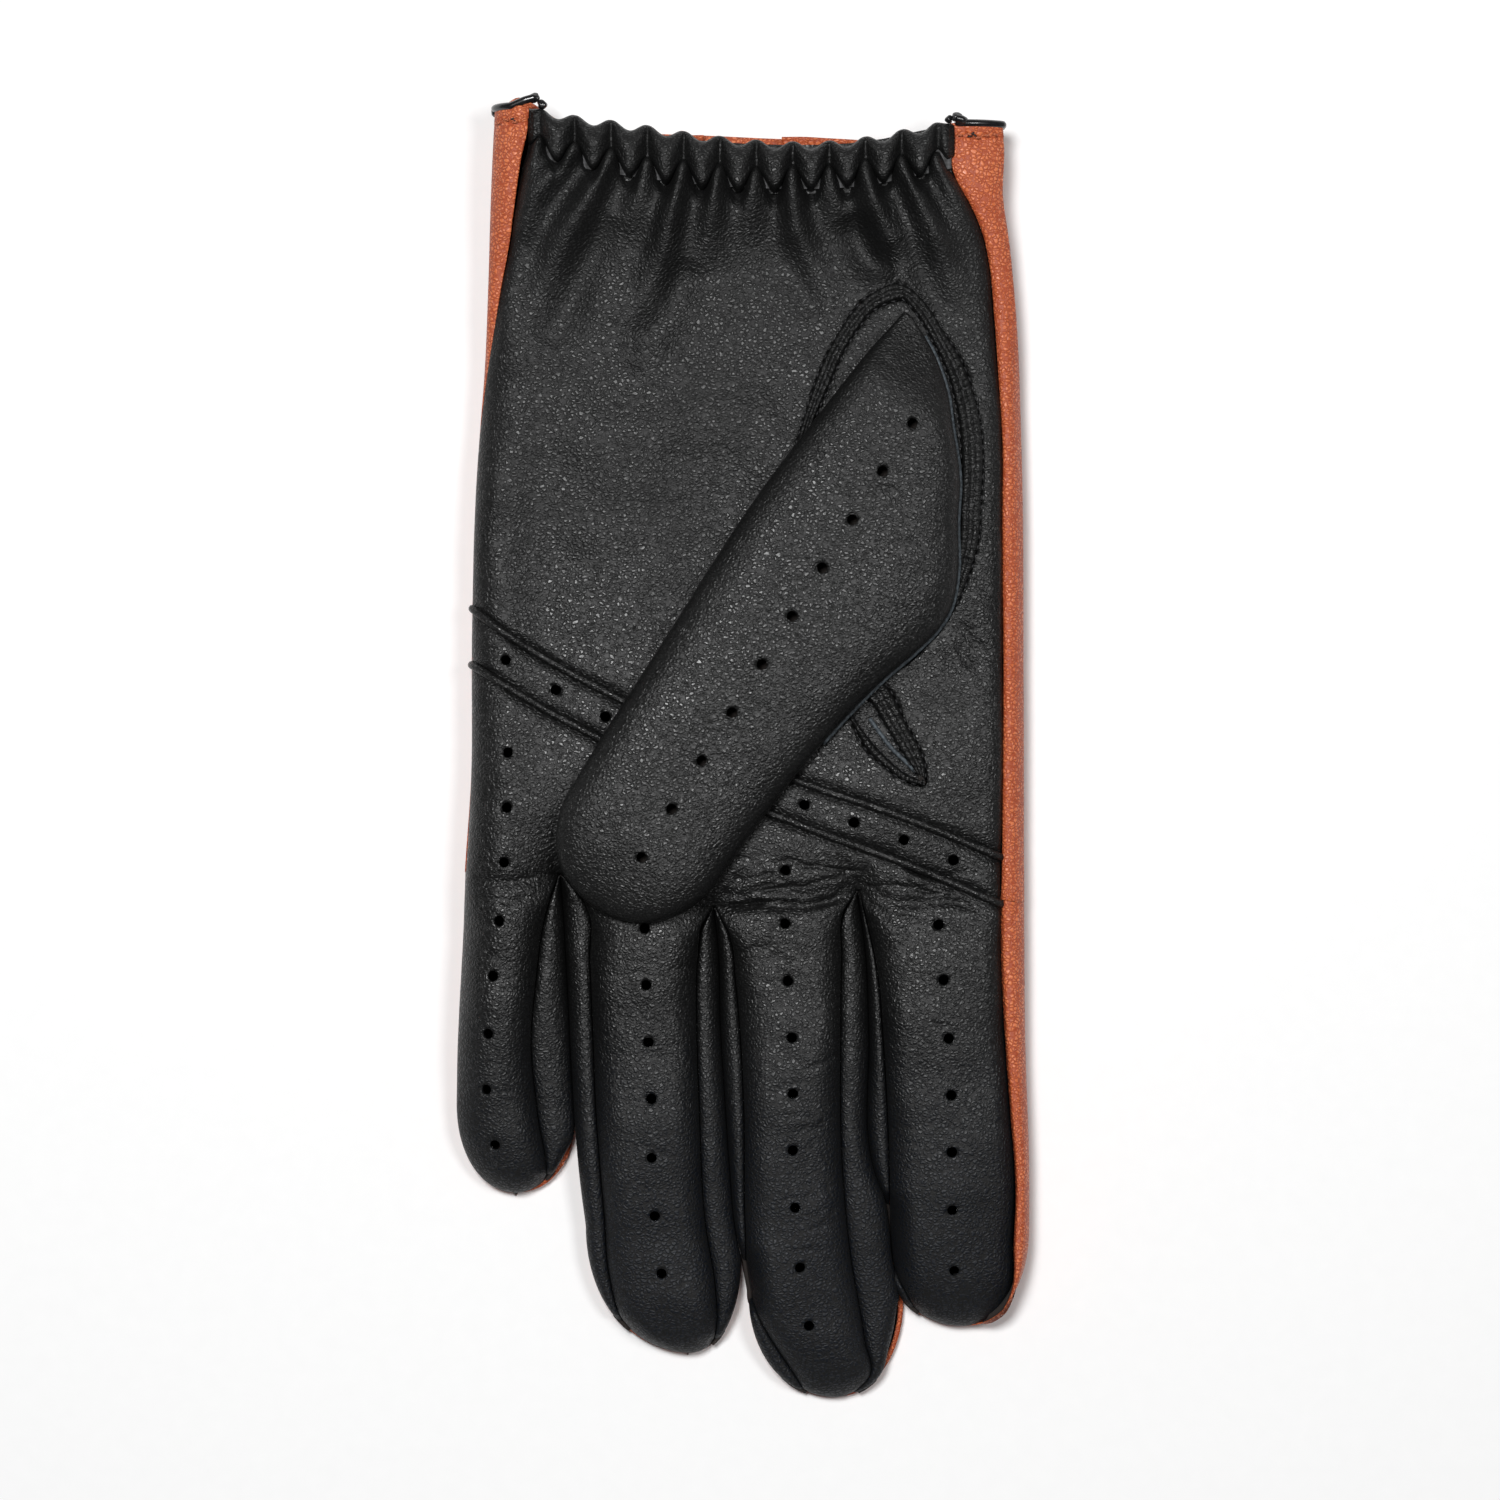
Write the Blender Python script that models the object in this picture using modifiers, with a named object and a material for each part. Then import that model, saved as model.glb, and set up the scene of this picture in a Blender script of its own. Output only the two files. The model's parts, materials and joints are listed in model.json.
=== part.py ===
"""Leather driving glove for the left hand, lying on its back with the thumb folded over the palm.

+Y runs to the cuff, +X to the index side and +Z up, out of the palm. Sizes below are millimetres,
and MM turns them into Blender's metres. The glove is an assembly of cut leather panels: each is a
bent sheet with its own thickness, and neighbours keep a small gap where the seam joins them.
"""

import math

import bmesh
import bpy
from mathutils import Matrix, Vector

MM = 0.001
LEATHER = 0.9  # thickness of every cut panel
SEAM = 0.4  # gap that stands for a sewn seam
PALM_TOP = 13.0  # outer face of the palm above the table
FLOOR = 0.0  # outer face of the back, which lies on the table
WRIST_LIFT = 4.5  # the back rises this far at the wrist, to clear the strap and its press stud
LIFT_START, LIFT_END = 62.0, 84.0  # where the back starts and ends rising
CUFF_RISE = 2.6  # the gathered palm side stands this much higher at the cuff
RISE_START, RISE_END = 84.0, 100.0
EDGE_ROUND = 8.0  # how far the rounded edge of the hand reaches in
KNUCKLE = -32.6  # hinge line of the ring, middle and index stalls
LITTLE_KNUCKLE = -26.0  # hinge line of the little stall
STALL_GAP = 0.5  # each stall's wall stands this far back from the line between two stalls
SEAM_DROP = 1.2  # the front seams of a stall lie this far under its crown
SIDE_FOOT = LEATHER + SEAM  # where a side strip ends, just above the back panel
LAST_TIP_ANGLE = 75.0  # the stall's cap is followed round to here, in degrees

HAND_LEFT = [(-34, -50.2), (0, -49.0), (25, -48.5), (50, -47.9), (78, -46.1), (100, -45.2), (116, -44.1)]
HAND_RIGHT = [(-34, 50.9), (60, 50.2), (78, 49.5), (95, 47.3), (116, 46.6)]
# How far in from the little-finger edge the palm's side seam lies, on top near the cuff, under it below.
LEFT_SEAM_INSET = [(62, 0.0), (78, 1.6), (90, 3.4), (105, 5.6), (116, 5.8)]
RIGHT_SEAM_INSET = 4.2
WRAP_GAP = 0.8  # gap at the side seams, where the back's bent edge turns in under the palm
CUFF_LINE = [(-46, 116.4), (-28, 112.4), (-10, 109.8), (8, 108.8), (22, 109.4), (38, 112.6), (48, 113.6)]
BACK_CUFF_DROP = 1.2  # the back's bare edge stops short of the piping's middle
CASING_WIDTH = 9.6
UPPER_WELT = [(-51, 27.4), (-34.4, 15.8), (-21.4, 8.8), (9.5, -5.4), (45.7, -19.3), (52, -22)]
LOWER_WELT = [(-51, 16.6), (-34.4, 6.7), (4.9, -11.3), (29, -20.3), (46.3, -27.7), (52, -30)]
WELT_RADIUS = 0.8
PIPING_RADIUS = 0.8
PIPING_RISE = 0.75  # the piping's middle lies this far inside the outer face of the back

# Each stall: hinge line, start of its rounded cap, tip, and its outlines as (y, x) points.
STALLS = {
    "little": {
        "root": LITTLE_KNUCKLE, "cap": -69.3, "tip": -80.3, "tip_x": -41.0,
        "left": [(-26, -50.0), (-53, -51.9), (-69.3, -51.4)],
        "right": [(-26, -32.9), (-46, -31.9), (-69.3, -30.8)],
        "seam_left": None,
        "seam_right": [(-26, -34.6), (-42, -37.3), (-55, -38.2), (-72, -36.4)],
    },
    "ring": {
        "root": KNUCKLE, "cap": -92.2, "tip": -109.3, "tip_x": -9.8,
        "left": [(-32.6, -30.8), (-46, -31.4), (-75, -29.7), (-92.2, -27.1)],
        "right": [(-32.6, -4.5), (-46, -4.5), (-77, -2.6), (-92.2, -0.2)],
        "seam_left": [(-32.6, -27.5), (-64, -26.4), (-92.2, -24.4)],
        "seam_right": [(-32.6, -7.6), (-50, -8.3), (-78, -7.3), (-97, -5.0)],
    },
    "middle": {
        "root": KNUCKLE, "cap": -100.8, "tip": -117.4, "tip_x": 16.2,
        "left": [(-32.6, -4.2), (-50, -3.8), (-77, -1.8), (-100.8, 1.4)],
        "right": [(-32.6, 22.2), (-77, 24.1), (-86, 24.9), (-100.8, 28.2)],
        "seam_left": [(-32.6, -2.5), (-50, -0.5), (-77, 0.5), (-92, 2.0)],
        "seam_right": [(-32.6, 18.0), (-50, 17.6), (-81, 18.3), (-106, 22.0)],
    },
    "index": {
        "root": KNUCKLE, "cap": -92.2, "tip": -104.4, "tip_x": 39.6,
        "left": [(-32.6, 22.8), (-50, 23.4), (-77, 24.8), (-92.2, 26.6)],
        "right": [(-32.6, 50.9), (-53, 51.1), (-83, 51.8), (-92.2, 50.8)],
        "seam_left": [(-32.6, 23.8), (-50, 25.6), (-80, 26.6), (-92, 28.4)],
        "seam_right": None,
    },
}
KNUCKLE_HINGE_Z = 13.6  # just above the palm's outer face, where the leather creases
INDEX_WRAP_INSET = 3.6  # the back panel comes round the index side onto the front by this much

THUMB_FOLD = ((37.3, 24.8), (29.5, 78.8))  # the fold that the thumb turns about
THUMB_FOLD_Z = 14.0
THUMB_ROOT = (29.2, 78.8)  # the thumb's upper corner, in the palm's plane
THUMB_AIM = 234.9  # direction of the folded thumb, in degrees from +X
THUMB_CAP, THUMB_TIP, THUMB_TIP_W = 105.0, 119.5, 16.0
THUMB_RIGHT = [(0, 0.6), (3, 8.2), (7, 13.6), (12.3, 18.8), (26, 28.8), (39.3, 35.8), (44, 36.8),
               (58, 35.1), (72, 32.6), (93, 31.3), (105, 31.3)]
THUMB_FOOT = PALM_TOP + 0.6  # underside of the thumb, just clear of the palm
THUMB_TOP = 22.0
THUMB_BACK_START = 44.0  # the thumb's under panel starts here; nearer the root it is open to the hand
THUMB_HOLE = (27.0, 46.0)  # middle of the hole in the palm
THUMB_HOLE_HALF = (14.6, 34.5)
GUSSET_EDGE = 21.0  # the gusset fills the hole from its little-finger side up to this X

KEYHOLE_TOP, KEYHOLE_BOTTOM, KEYHOLE_HALF = 84.0, 66.0, 13.0
KEYHOLE_NECK = 7.0
STRAP_ROOT, STRAP_END, STRAP_LOW, STRAP_HIGH = -17.0, 25.0, 96.5, 109.0
STRAP_FOOT = 1.2  # underside of the strap where the stud's cap is riveted through it
STUD = (17.5, 102.8)  # centre of the press stud
CAP_RADIUS, SOCKET_RADIUS, NUB_RADIUS, SHANK_RADIUS = 6.0, 4.6, 1.8, 1.1
RIVET_GAP = 0.3
STRAP_HINGE = (STRAP_ROOT - 0.3, (STRAP_LOW + STRAP_HIGH) / 2, 4.2)

COLOURS = {
    "black_leather": ((0.020, 0.021, 0.022, 1), 0.5, 0.0),
    "tan_leather": ((0.51, 0.145, 0.062, 1), 0.45, 0.0),
    "black_piping": ((0.010, 0.010, 0.011, 1), 0.3, 0.0),
    "elastic": ((0.05, 0.05, 0.05, 1), 0.8, 0.0),
    "stud_metal": ((0.36, 0.34, 0.31, 1), 0.3, 1.0),
}


def material(name):
    """The named finish, made once."""
    found = bpy.data.materials.get(name)
    if found:
        return found
    colour, roughness, metallic = COLOURS[name]
    made = bpy.data.materials.new(name)
    made.use_nodes = True
    shader = made.node_tree.nodes["Principled BSDF"]
    shader.inputs["Base Color"].default_value = colour
    shader.inputs["Roughness"].default_value = roughness
    shader.inputs["Metallic"].default_value = metallic
    made.diffuse_color = colour
    return made


def fresh_collection(name, hidden=False):
    made = bpy.data.collections.new(name)
    bpy.context.scene.collection.children.link(made)
    made.hide_render = hidden
    return made


def on_line(points, at):
    """Height at a place on a smooth line through the points, which are (place, height)."""
    points = sorted(points)
    at = min(max(at, points[0][0]), points[-1][0])
    last = len(points) - 1
    i = next(k for k in range(last) if at <= points[k + 1][0])

    def slope(k):
        a, b = points[max(k - 1, 0)], points[min(k + 1, last)]
        return (b[1] - a[1]) / (b[0] - a[0])

    (x0, y0), (x1, y1) = points[i], points[i + 1]
    step = x1 - x0
    t = (at - x0) / step
    return (
        y0 * (1 + 2 * t) * (1 - t) ** 2
        + y1 * t * t * (3 - 2 * t)
        + step * (slope(i) * t * (1 - t) ** 2 - slope(i + 1) * t * t * (1 - t))
    )


def ease(t):
    t = min(max(t, 0.0), 1.0)
    return t * t * (3 - 2 * t)


def mix(a, b, t):
    return a + (b - a) * t


def bezier(p0, p1, p2, p3, t):
    s = 1 - t
    return tuple(s**3 * a + 3 * s * s * t * b + 3 * s * t * t * c + t**3 * d for a, b, c, d in zip(p0, p1, p2, p3))


def new_object(name, mesh, collection, finish=None):
    made = bpy.data.objects.new(name, mesh)
    collection.objects.link(made)
    if finish:
        mesh.materials.append(material(finish))
    return made


def panel(name, columns, rows, place, finish, thickness=LEATHER):
    """A leather panel: a grid whose point (u, v) goes to place(u, v), made solid on its inner side."""
    build = bmesh.new()
    bmesh.ops.create_grid(build, x_segments=columns, y_segments=rows, size=0.5)
    for vert in build.verts:
        vert.co = Vector(place(vert.co.x + 0.5, vert.co.y + 0.5)) * MM
    mesh = bpy.data.meshes.new(name)
    build.to_mesh(mesh)
    build.free()
    made = new_object(name, mesh, glove, finish)
    solid = made.modifiers.new("thickness", "SOLIDIFY")
    solid.thickness = thickness * MM
    solid.offset = -1
    return made


def cut(target, cutter):
    boolean = target.modifiers.new("cut", "BOOLEAN")
    boolean.operation = "DIFFERENCE"
    boolean.solver = "EXACT"
    boolean.object = cutter


def keep_within(target, cutter):
    boolean = target.modifiers.new("trim", "BOOLEAN")
    boolean.operation = "INTERSECT"
    boolean.solver = "EXACT"
    boolean.object = cutter


def prism(name, outline, low, high):
    """A cutter: a flat outline of (x, y) points, raised from low to high."""
    build = bmesh.new()
    corners = [build.verts.new(Vector((x, y, low)) * MM) for x, y in outline]
    face = build.faces.new(corners)
    raised = bmesh.ops.extrude_face_region(build, geom=[face])["geom"]
    tops = [v for v in raised if isinstance(v, bmesh.types.BMVert)]
    bmesh.ops.translate(build, vec=Vector((0, 0, high - low)) * MM, verts=tops)
    bmesh.ops.recalc_face_normals(build, faces=build.faces)
    mesh = bpy.data.meshes.new(name)
    build.to_mesh(mesh)
    build.free()
    made = new_object(name, mesh, cutters)
    made.hide_render = True
    made.display_type = "WIRE"
    return made


def box_outline(x0, y0, x1, y1):
    return [(x0, y0), (x1, y0), (x1, y1), (x0, y1)]


def oval(centre, half, count=24):
    turn = 2 * math.pi / count
    return [(centre[0] + half[0] * math.cos(i * turn), centre[1] + half[1] * math.sin(i * turn)) for i in range(count)]


def cord(name, route, radius, finish, sides=2):
    """A round roll of leather along a route of points."""
    curve = bpy.data.curves.new(name, "CURVE")
    curve.dimensions = "3D"
    curve.bevel_depth = radius * MM
    curve.bevel_resolution = sides
    curve.use_fill_caps = True
    spline = curve.splines.new("POLY")
    spline.points.add(len(route) - 1)
    for point, place in zip(spline.points, route):
        point.co = (*(Vector(place) * MM), 1)
    curve.materials.append(material(finish))
    made = bpy.data.objects.new(name, curve)
    glove.objects.link(made)
    return made


def turned(name, centre, profile, finish, steps=16):
    """A turned piece: profile is (radius, z) points from top to bottom down the outer side."""
    build = bmesh.new()
    points = [build.verts.new(Vector((r, 0, z)) * MM) for r, z in profile]
    for a, b in zip(points, points[1:]):
        build.edges.new((a, b))
    mesh = bpy.data.meshes.new(name)
    build.to_mesh(mesh)
    build.free()
    made = new_object(name, mesh, glove, finish)
    made.location = Vector((centre[0], centre[1], 0)) * MM
    screw = made.modifiers.new("turn", "SCREW")
    screw.steps = steps
    screw.render_steps = steps
    screw.use_merge_vertices = True
    screw.merge_threshold = 0.00005
    return made


# The hand -----------------------------------------------------------------------------------------


def back_level(y):
    """Outer face of the back: on the table under the hand, raised at the wrist."""
    return mix(FLOOR, WRIST_LIFT, ease((y - LIFT_START) / (LIFT_END - LIFT_START)))


def front_level(y):
    """Outer face of the palm side: level, and higher at the gathered cuff."""
    return PALM_TOP + CUFF_RISE * ease((y - RISE_START) / (RISE_END - RISE_START))


def edge_depth(inset, half):
    """How far the rounded edge has fallen from level, a given distance in from the outermost line."""
    share = min(inset / EDGE_ROUND, 1.0)
    return half * (1 - math.sqrt(1 - (1 - share) ** 2))


def hand_front(y, t):
    """The palm side across the hand at y: t 0 is the little-finger seam and 1 the index seam."""
    left, right = on_line(HAND_LEFT, y), on_line(HAND_RIGHT, y)
    top = front_level(y)
    half = (top - back_level(y)) / 2
    start = on_line(LEFT_SEAM_INSET, y)
    turn = math.acos(1 - min(start / EDGE_ROUND, 1.0)) if start > 0 else math.radians(4)
    corner = 0.22  # share of the width's columns that goes round the little-finger edge
    if t < corner:
        angle = mix(turn, math.pi / 2, t / corner)
        return (left + EDGE_ROUND * (1 - math.cos(angle)), top - half * (1 - math.sin(angle)))
    x = mix(left + EDGE_ROUND, right - RIGHT_SEAM_INSET, (t - corner) / (1 - corner))
    return (x, top - edge_depth(right - x, half))


def hand_back(y, t):
    """The back across the hand at y: t 0 is the index seam, on the front, and 1 the other seam."""
    left, right = on_line(HAND_LEFT, y), on_line(HAND_RIGHT, y)
    low = back_level(y)
    half = (front_level(y) - low) / 2
    middle = low + half
    top_turn = math.acos(1 - (RIGHT_SEAM_INSET - WRAP_GAP) / EDGE_ROUND)
    wrap, rise = 0.22, 0.80  # shares of the columns at the index edge, and before the other edge
    if t < wrap:
        angle = mix(top_turn, -math.pi / 2, t / wrap)
        return (right - EDGE_ROUND * (1 - math.cos(angle)), middle + half * math.sin(angle))
    if t < rise:
        return (mix(right - EDGE_ROUND, left + EDGE_ROUND, (t - wrap) / (rise - wrap)), low)
    start = on_line(LEFT_SEAM_INSET, y)
    end = math.acos(1 - (start - WRAP_GAP) / EDGE_ROUND) if start > WRAP_GAP else -math.radians(8)
    angle = mix(-math.pi / 2, end, (t - rise) / (1 - rise))
    return (left + EDGE_ROUND * (1 - math.cos(angle)), middle + half * math.sin(angle))


def between_lines(section, low_line, high_line, low_gap, high_gap):
    """Place function for a panel whose two ends follow lines that cross the hand at a slant."""

    def place(u, v):
        y = 0.0
        for _ in range(4):
            x, z = section(y, u)
            y = mix(low_line(x) + low_gap, high_line(x) - high_gap, v)
        return (x, y, z)

    return place


def cuff_line(x):
    return on_line(CUFF_LINE, x)


def casing_foot(x):
    return on_line(CUFF_LINE, x) - CASING_WIDTH


def upper_welt(x):
    return on_line(UPPER_WELT, x)


def lower_welt(x):
    return on_line(LOWER_WELT, x)


def knuckle_line(x):
    return KNUCKLE


def layer_section(drop, side):
    """A flat layer inside the cuff casing, a given drop under its outer face."""

    def section(y, t):
        left = on_line(HAND_LEFT, y) + side
        right = on_line(HAND_RIGHT, y) - side
        return (mix(left, right, t), front_level(y) - drop)

    return section


def make_palm():
    """The palm side: gathered heel, the strip between two welts, and the base of the stalls."""
    clear = WELT_RADIUS + SEAM
    heel = panel("palm_heel", 16, 12, between_lines(hand_front, upper_welt, casing_foot, clear, SEAM), "black_leather")
    cut(heel, prism("thumb_hole", oval(THUMB_HOLE, THUMB_HOLE_HALF), PALM_TOP - 4, PALM_TOP + 4))
    panel("palm_strip", 16, 2, between_lines(hand_front, lower_welt, upper_welt, clear, clear), "black_leather")
    base = panel("palm_base", 16, 6, between_lines(hand_front, knuckle_line, lower_welt, SEAM, clear), "black_leather")
    cut(base, little_notch())
    for name, line in (("upper_welt", upper_welt), ("lower_welt", lower_welt)):
        route = []
        for i in range(25):
            place = between_lines(hand_front, line, line, 0, 0)(mix(0.04, 0.985, i / 24), 0)
            route.append((place[0], place[1], place[2] - WELT_RADIUS / 2))
        cord(name, route, WELT_RADIUS, "black_leather", sides=1)


def little_notch():
    """Room for the little stall, whose hinge line lies nearer the wrist than the others."""
    found = bpy.data.objects.get("little_notch")
    return found or prism("little_notch", box_outline(-60, -40, -31.7, LITTLE_KNUCKLE + SEAM), -5, 20)


def make_cuff():
    """The elastic casing across the palm side of the wrist: outer leather, elastic and facing."""
    outer = between_lines(hand_front, casing_foot, cuff_line, SEAM, 0)
    panel("cuff_casing", 16, 3, outer, "black_leather")
    band = between_lines(layer_section(1.3, 9.5), casing_foot, cuff_line, 1.2, 1.0)
    panel("wrist_elastic", 12, 2, band, "elastic", thickness=0.6)
    facing = between_lines(layer_section(2.3, 9.5), casing_foot, cuff_line, SEAM, 0.4)
    panel("cuff_facing", 12, 2, facing, "black_leather", thickness=0.6)


def keyhole_outline():
    """The opening in the back: a round hole with a neck that runs out through the cuff."""
    reach = KEYHOLE_TOP - KEYHOLE_BOTTOM
    start = math.pi / 2 - math.asin(KEYHOLE_NECK / KEYHOLE_HALF)
    points = []
    for i in range(19):
        angle = mix(start, -start - math.pi, i / 18)
        stretch = reach if math.sin(angle) < 0 else KEYHOLE_HALF
        points.append((KEYHOLE_HALF * math.cos(angle), KEYHOLE_TOP + stretch * math.sin(angle)))
    return [(KEYHOLE_NECK, 120), *points, (-KEYHOLE_NECK, 120)]


def make_back():
    """The back panel, which comes round the index side to the front, and its keyhole."""

    def cuff_edge(x):
        return on_line(CUFF_LINE, x) - BACK_CUFF_DROP

    place = between_lines(hand_back, knuckle_line, cuff_edge, SEAM, PIPING_RADIUS)
    back = panel("hand_back", 22, 14, place, "tan_leather")
    cut(back, little_notch())
    cut(back, prism("keyhole", keyhole_outline(), -2, PALM_TOP - 5))
    cut(back, prism("shank_hole", oval(STUD, (1.5, 1.5), 8), 2, 9))


def piping_route():
    """The roll round the cuff's edge and the keyhole, from one end of the casing to the other."""
    route = []

    def cuff_point(t):
        y = 110.0
        for _ in range(4):
            x, z = hand_back(y, t)
            y = on_line(CUFF_LINE, x) - 0.2
        return x, y, z

    for i in range(12):
        x, y, z = cuff_point(mix(0.0, 0.45, i / 11))
        route.append((x, y, z + PIPING_RISE))
    grow = PIPING_RADIUS + SEAM
    neck = [(KEYHOLE_NECK - grow, cuff_line(0) - 0.3), (KEYHOLE_NECK - grow, KEYHOLE_TOP + KEYHOLE_HALF - 1.5)]
    hole = []
    for x, y in keyhole_outline()[1:-1]:
        inward = Vector((x, y - KEYHOLE_TOP)).normalized() * grow
        hole.append((x - inward.x, y - inward.y))
    for x, y in [*neck, *hole, *((-x, y) for x, y in reversed(neck))]:
        route.append((x, y, back_level(y) + PIPING_RISE))
    for i in range(12):
        x, y, z = cuff_point(mix(0.585, 1.0, i / 11))
        route.append((x, y, z + PIPING_RISE))
    return route


# The stalls ---------------------------------------------------------------------------------------


def stall_outline(stall, y):
    """Left and right edges of a stall at y, its front seams, and how much of its height the cap leaves."""
    if y >= stall["cap"]:
        left, right, height = on_line(stall["left"], y), on_line(stall["right"], y), 1.0
    else:
        t = (stall["cap"] - y) / (stall["cap"] - stall["tip"])
        round_off = math.sqrt(max(1 - t * t, 0.0))
        edge_left, edge_right = on_line(stall["left"], stall["cap"]), on_line(stall["right"], stall["cap"])
        centre = mix((edge_left + edge_right) / 2, stall["tip_x"], t)
        half = (edge_right - edge_left) / 2 * round_off
        left, right, height = centre - half, centre + half, round_off**1.5
    left += STALL_GAP * (stall["seam_left"] is not None)
    right -= STALL_GAP * (stall["seam_right"] is not None)
    seam_left = left + 0.5 if stall["seam_left"] is None else max(on_line(stall["seam_left"], y), left + 0.8)
    inset = INDEX_WRAP_INSET if stall["seam_right"] is None else 0.8
    seam_right = right - inset
    if stall["seam_right"] is not None:
        seam_right = min(on_line(stall["seam_right"], y), seam_right)
    return left, right, seam_left, seam_right, height


def stall_station(stall, v):
    """y at a share v of a stall's length, from the last angle of its cap to the hinge line."""
    straight = 0.5
    if v > straight:
        return mix(stall["cap"], stall["root"] - SEAM, (v - straight) / (1 - straight))
    angle = math.radians(mix(LAST_TIP_ANGLE, 0, v / straight))
    return stall["cap"] - (stall["cap"] - stall["tip"]) * math.sin(angle)


def stall_front(stall):
    """Front panel between its seams. On the little finger it goes on round the outer edge."""

    def place(u, v):
        y = stall_station(stall, v)
        left, right, seam_left, seam_right, height = stall_outline(stall, y)
        foot = SIDE_FOOT
        crown = foot + (PALM_TOP - foot) * height
        edge = foot + (PALM_TOP - SEAM_DROP - foot) * height
        if stall["seam_left"] is None:
            reach = (seam_right - left) * 0.45
            corner = 0.4
            if u < corner:
                x, z = bezier((left + 0.3, foot), (left - 0.1, foot + (crown - foot) * 0.5),
                              (left, crown), (left + reach, crown), u / corner)
                return (x, y, z)
            t = (u - corner) / (1 - corner)
            return (mix(left + reach, seam_right - SEAM, t), y, mix(crown, edge, t**3))
        t = abs(2 * u - 1)
        return (mix(seam_left + SEAM, seam_right - SEAM, u), y, mix(crown, edge, t**3))

    return place


def stall_side(stall, side):
    """Side strip (fourchette) on the left (-1) or right (+1) of a stall, tucked under the front panel."""

    def place(u, v):
        y = mix(stall["cap"] - (stall["cap"] - stall["tip"]) * 0.75, stall["root"] - SEAM, v)
        left, right, seam_left, seam_right, height = stall_outline(stall, y)
        top = SIDE_FOOT + (PALM_TOP - SEAM_DROP - SIDE_FOOT) * height - LEATHER - SEAM
        outer, seam = (left, seam_left) if side < 0 else (right, seam_right)
        foot = outer - side * 0.6
        bulge = (outer - (seam + foot) / 8) / 0.75
        t = u if side > 0 else 1 - u
        x, z = bezier((seam, top), (bulge, top), (bulge, SIDE_FOOT + 1), (foot, SIDE_FOOT), t)
        return (x, y, z)

    return place


def stall_back(stall):
    """Back panel of a stall. On the index finger it comes round the outer edge to the front."""

    def place(u, v):
        y = stall_station(stall, v)
        left, right, seam_left, seam_right, height = stall_outline(stall, y)
        if stall["seam_right"] is None:
            wrap = 0.5
            top = SIDE_FOOT + (PALM_TOP - SEAM_DROP - SIDE_FOOT) * height
            if u < wrap:
                swell = (right - (seam_right + right - 5) / 8) / 0.75
                x, z = bezier((seam_right, top), (swell, top), (swell, FLOOR), (right - 5 * height, FLOOR), u / wrap)
                return (x, y, z)
            return (mix(right - 5 * height, left + 0.3, (u - wrap) / (1 - wrap)), y, FLOOR)
        return (mix(right - 0.2, left + 0.2, u), y, FLOOR)

    return place


def make_stalls():
    for name, stall in STALLS.items():
        front_columns = 9 if stall["seam_left"] is None else 6
        panel(name + "_front", front_columns, 12, stall_front(stall), "black_leather")
        back_columns = 10 if stall["seam_right"] is None else 2
        panel(name + "_back", back_columns, 12, stall_back(stall), "tan_leather")
        if stall["seam_left"] is not None:
            panel(name + "_fourchette_outer", 5, 9, stall_side(stall, -1), "black_leather")
        if stall["seam_right"] is not None:
            panel(name + "_fourchette_inner", 5, 9, stall_side(stall, 1), "black_leather")


# The thumb ----------------------------------------------------------------------------------------


def thumb_point(along, across, z):
    """A point given along the folded thumb from its root and across it towards the index side."""
    aim = math.radians(THUMB_AIM)
    run, side = Vector((math.cos(aim), math.sin(aim))), Vector((-math.sin(aim), math.cos(aim)))
    place = Vector(THUMB_ROOT) + run * along + side * across
    return (place.x, place.y, z)


def thumb_edges(along):
    """The two edges of the folded thumb, and how much of its height its cap leaves."""
    if along <= THUMB_CAP:
        return 0.0, on_line(THUMB_RIGHT, along), 1.0
    t = (along - THUMB_CAP) / (THUMB_TIP - THUMB_CAP)
    round_off = math.sqrt(max(1 - t * t, 0))
    end = on_line(THUMB_RIGHT, THUMB_CAP)
    centre = mix(end / 2, THUMB_TIP_W, t)
    return centre - end / 2 * round_off, centre + end / 2 * round_off, round_off**1.5


def thumb_front(u, v):
    """The thumb's upper panel, domed across and rounded down at its tip and at its root."""
    straight = 0.4
    if v > straight:
        along = mix(THUMB_CAP, 1.2, ((v - straight) / (1 - straight)) ** 0.8)
    else:
        along = THUMB_CAP + (THUMB_TIP - THUMB_CAP) * math.sin(math.radians(mix(LAST_TIP_ANGLE, 0, v / straight)))
    left, right, height = thumb_edges(along)
    foot = THUMB_FOOT + LEATHER + SEAM
    root_fall = 0.25 + 0.75 * ease(along / 22)
    angle = math.pi * mix(0.985, 0.015, u)
    power = 2 / 3
    swing = math.copysign(abs(math.cos(angle)) ** power, math.cos(angle))
    across = (left + right) / 2 + (right - left) / 2 * swing
    rise = (THUMB_TOP - foot) * height * root_fall * math.sin(angle) ** power
    return thumb_point(along, across, foot + rise)


def thumb_back(u, v):
    """The thumb's under panel, flat above the palm. Its point u 0 is the index side."""
    along = mix(THUMB_TIP - 1.6, THUMB_BACK_START, v)
    left, right, height = thumb_edges(along)
    return thumb_point(along, mix(right - 0.6, left + 0.6, u), THUMB_FOOT)


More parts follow.
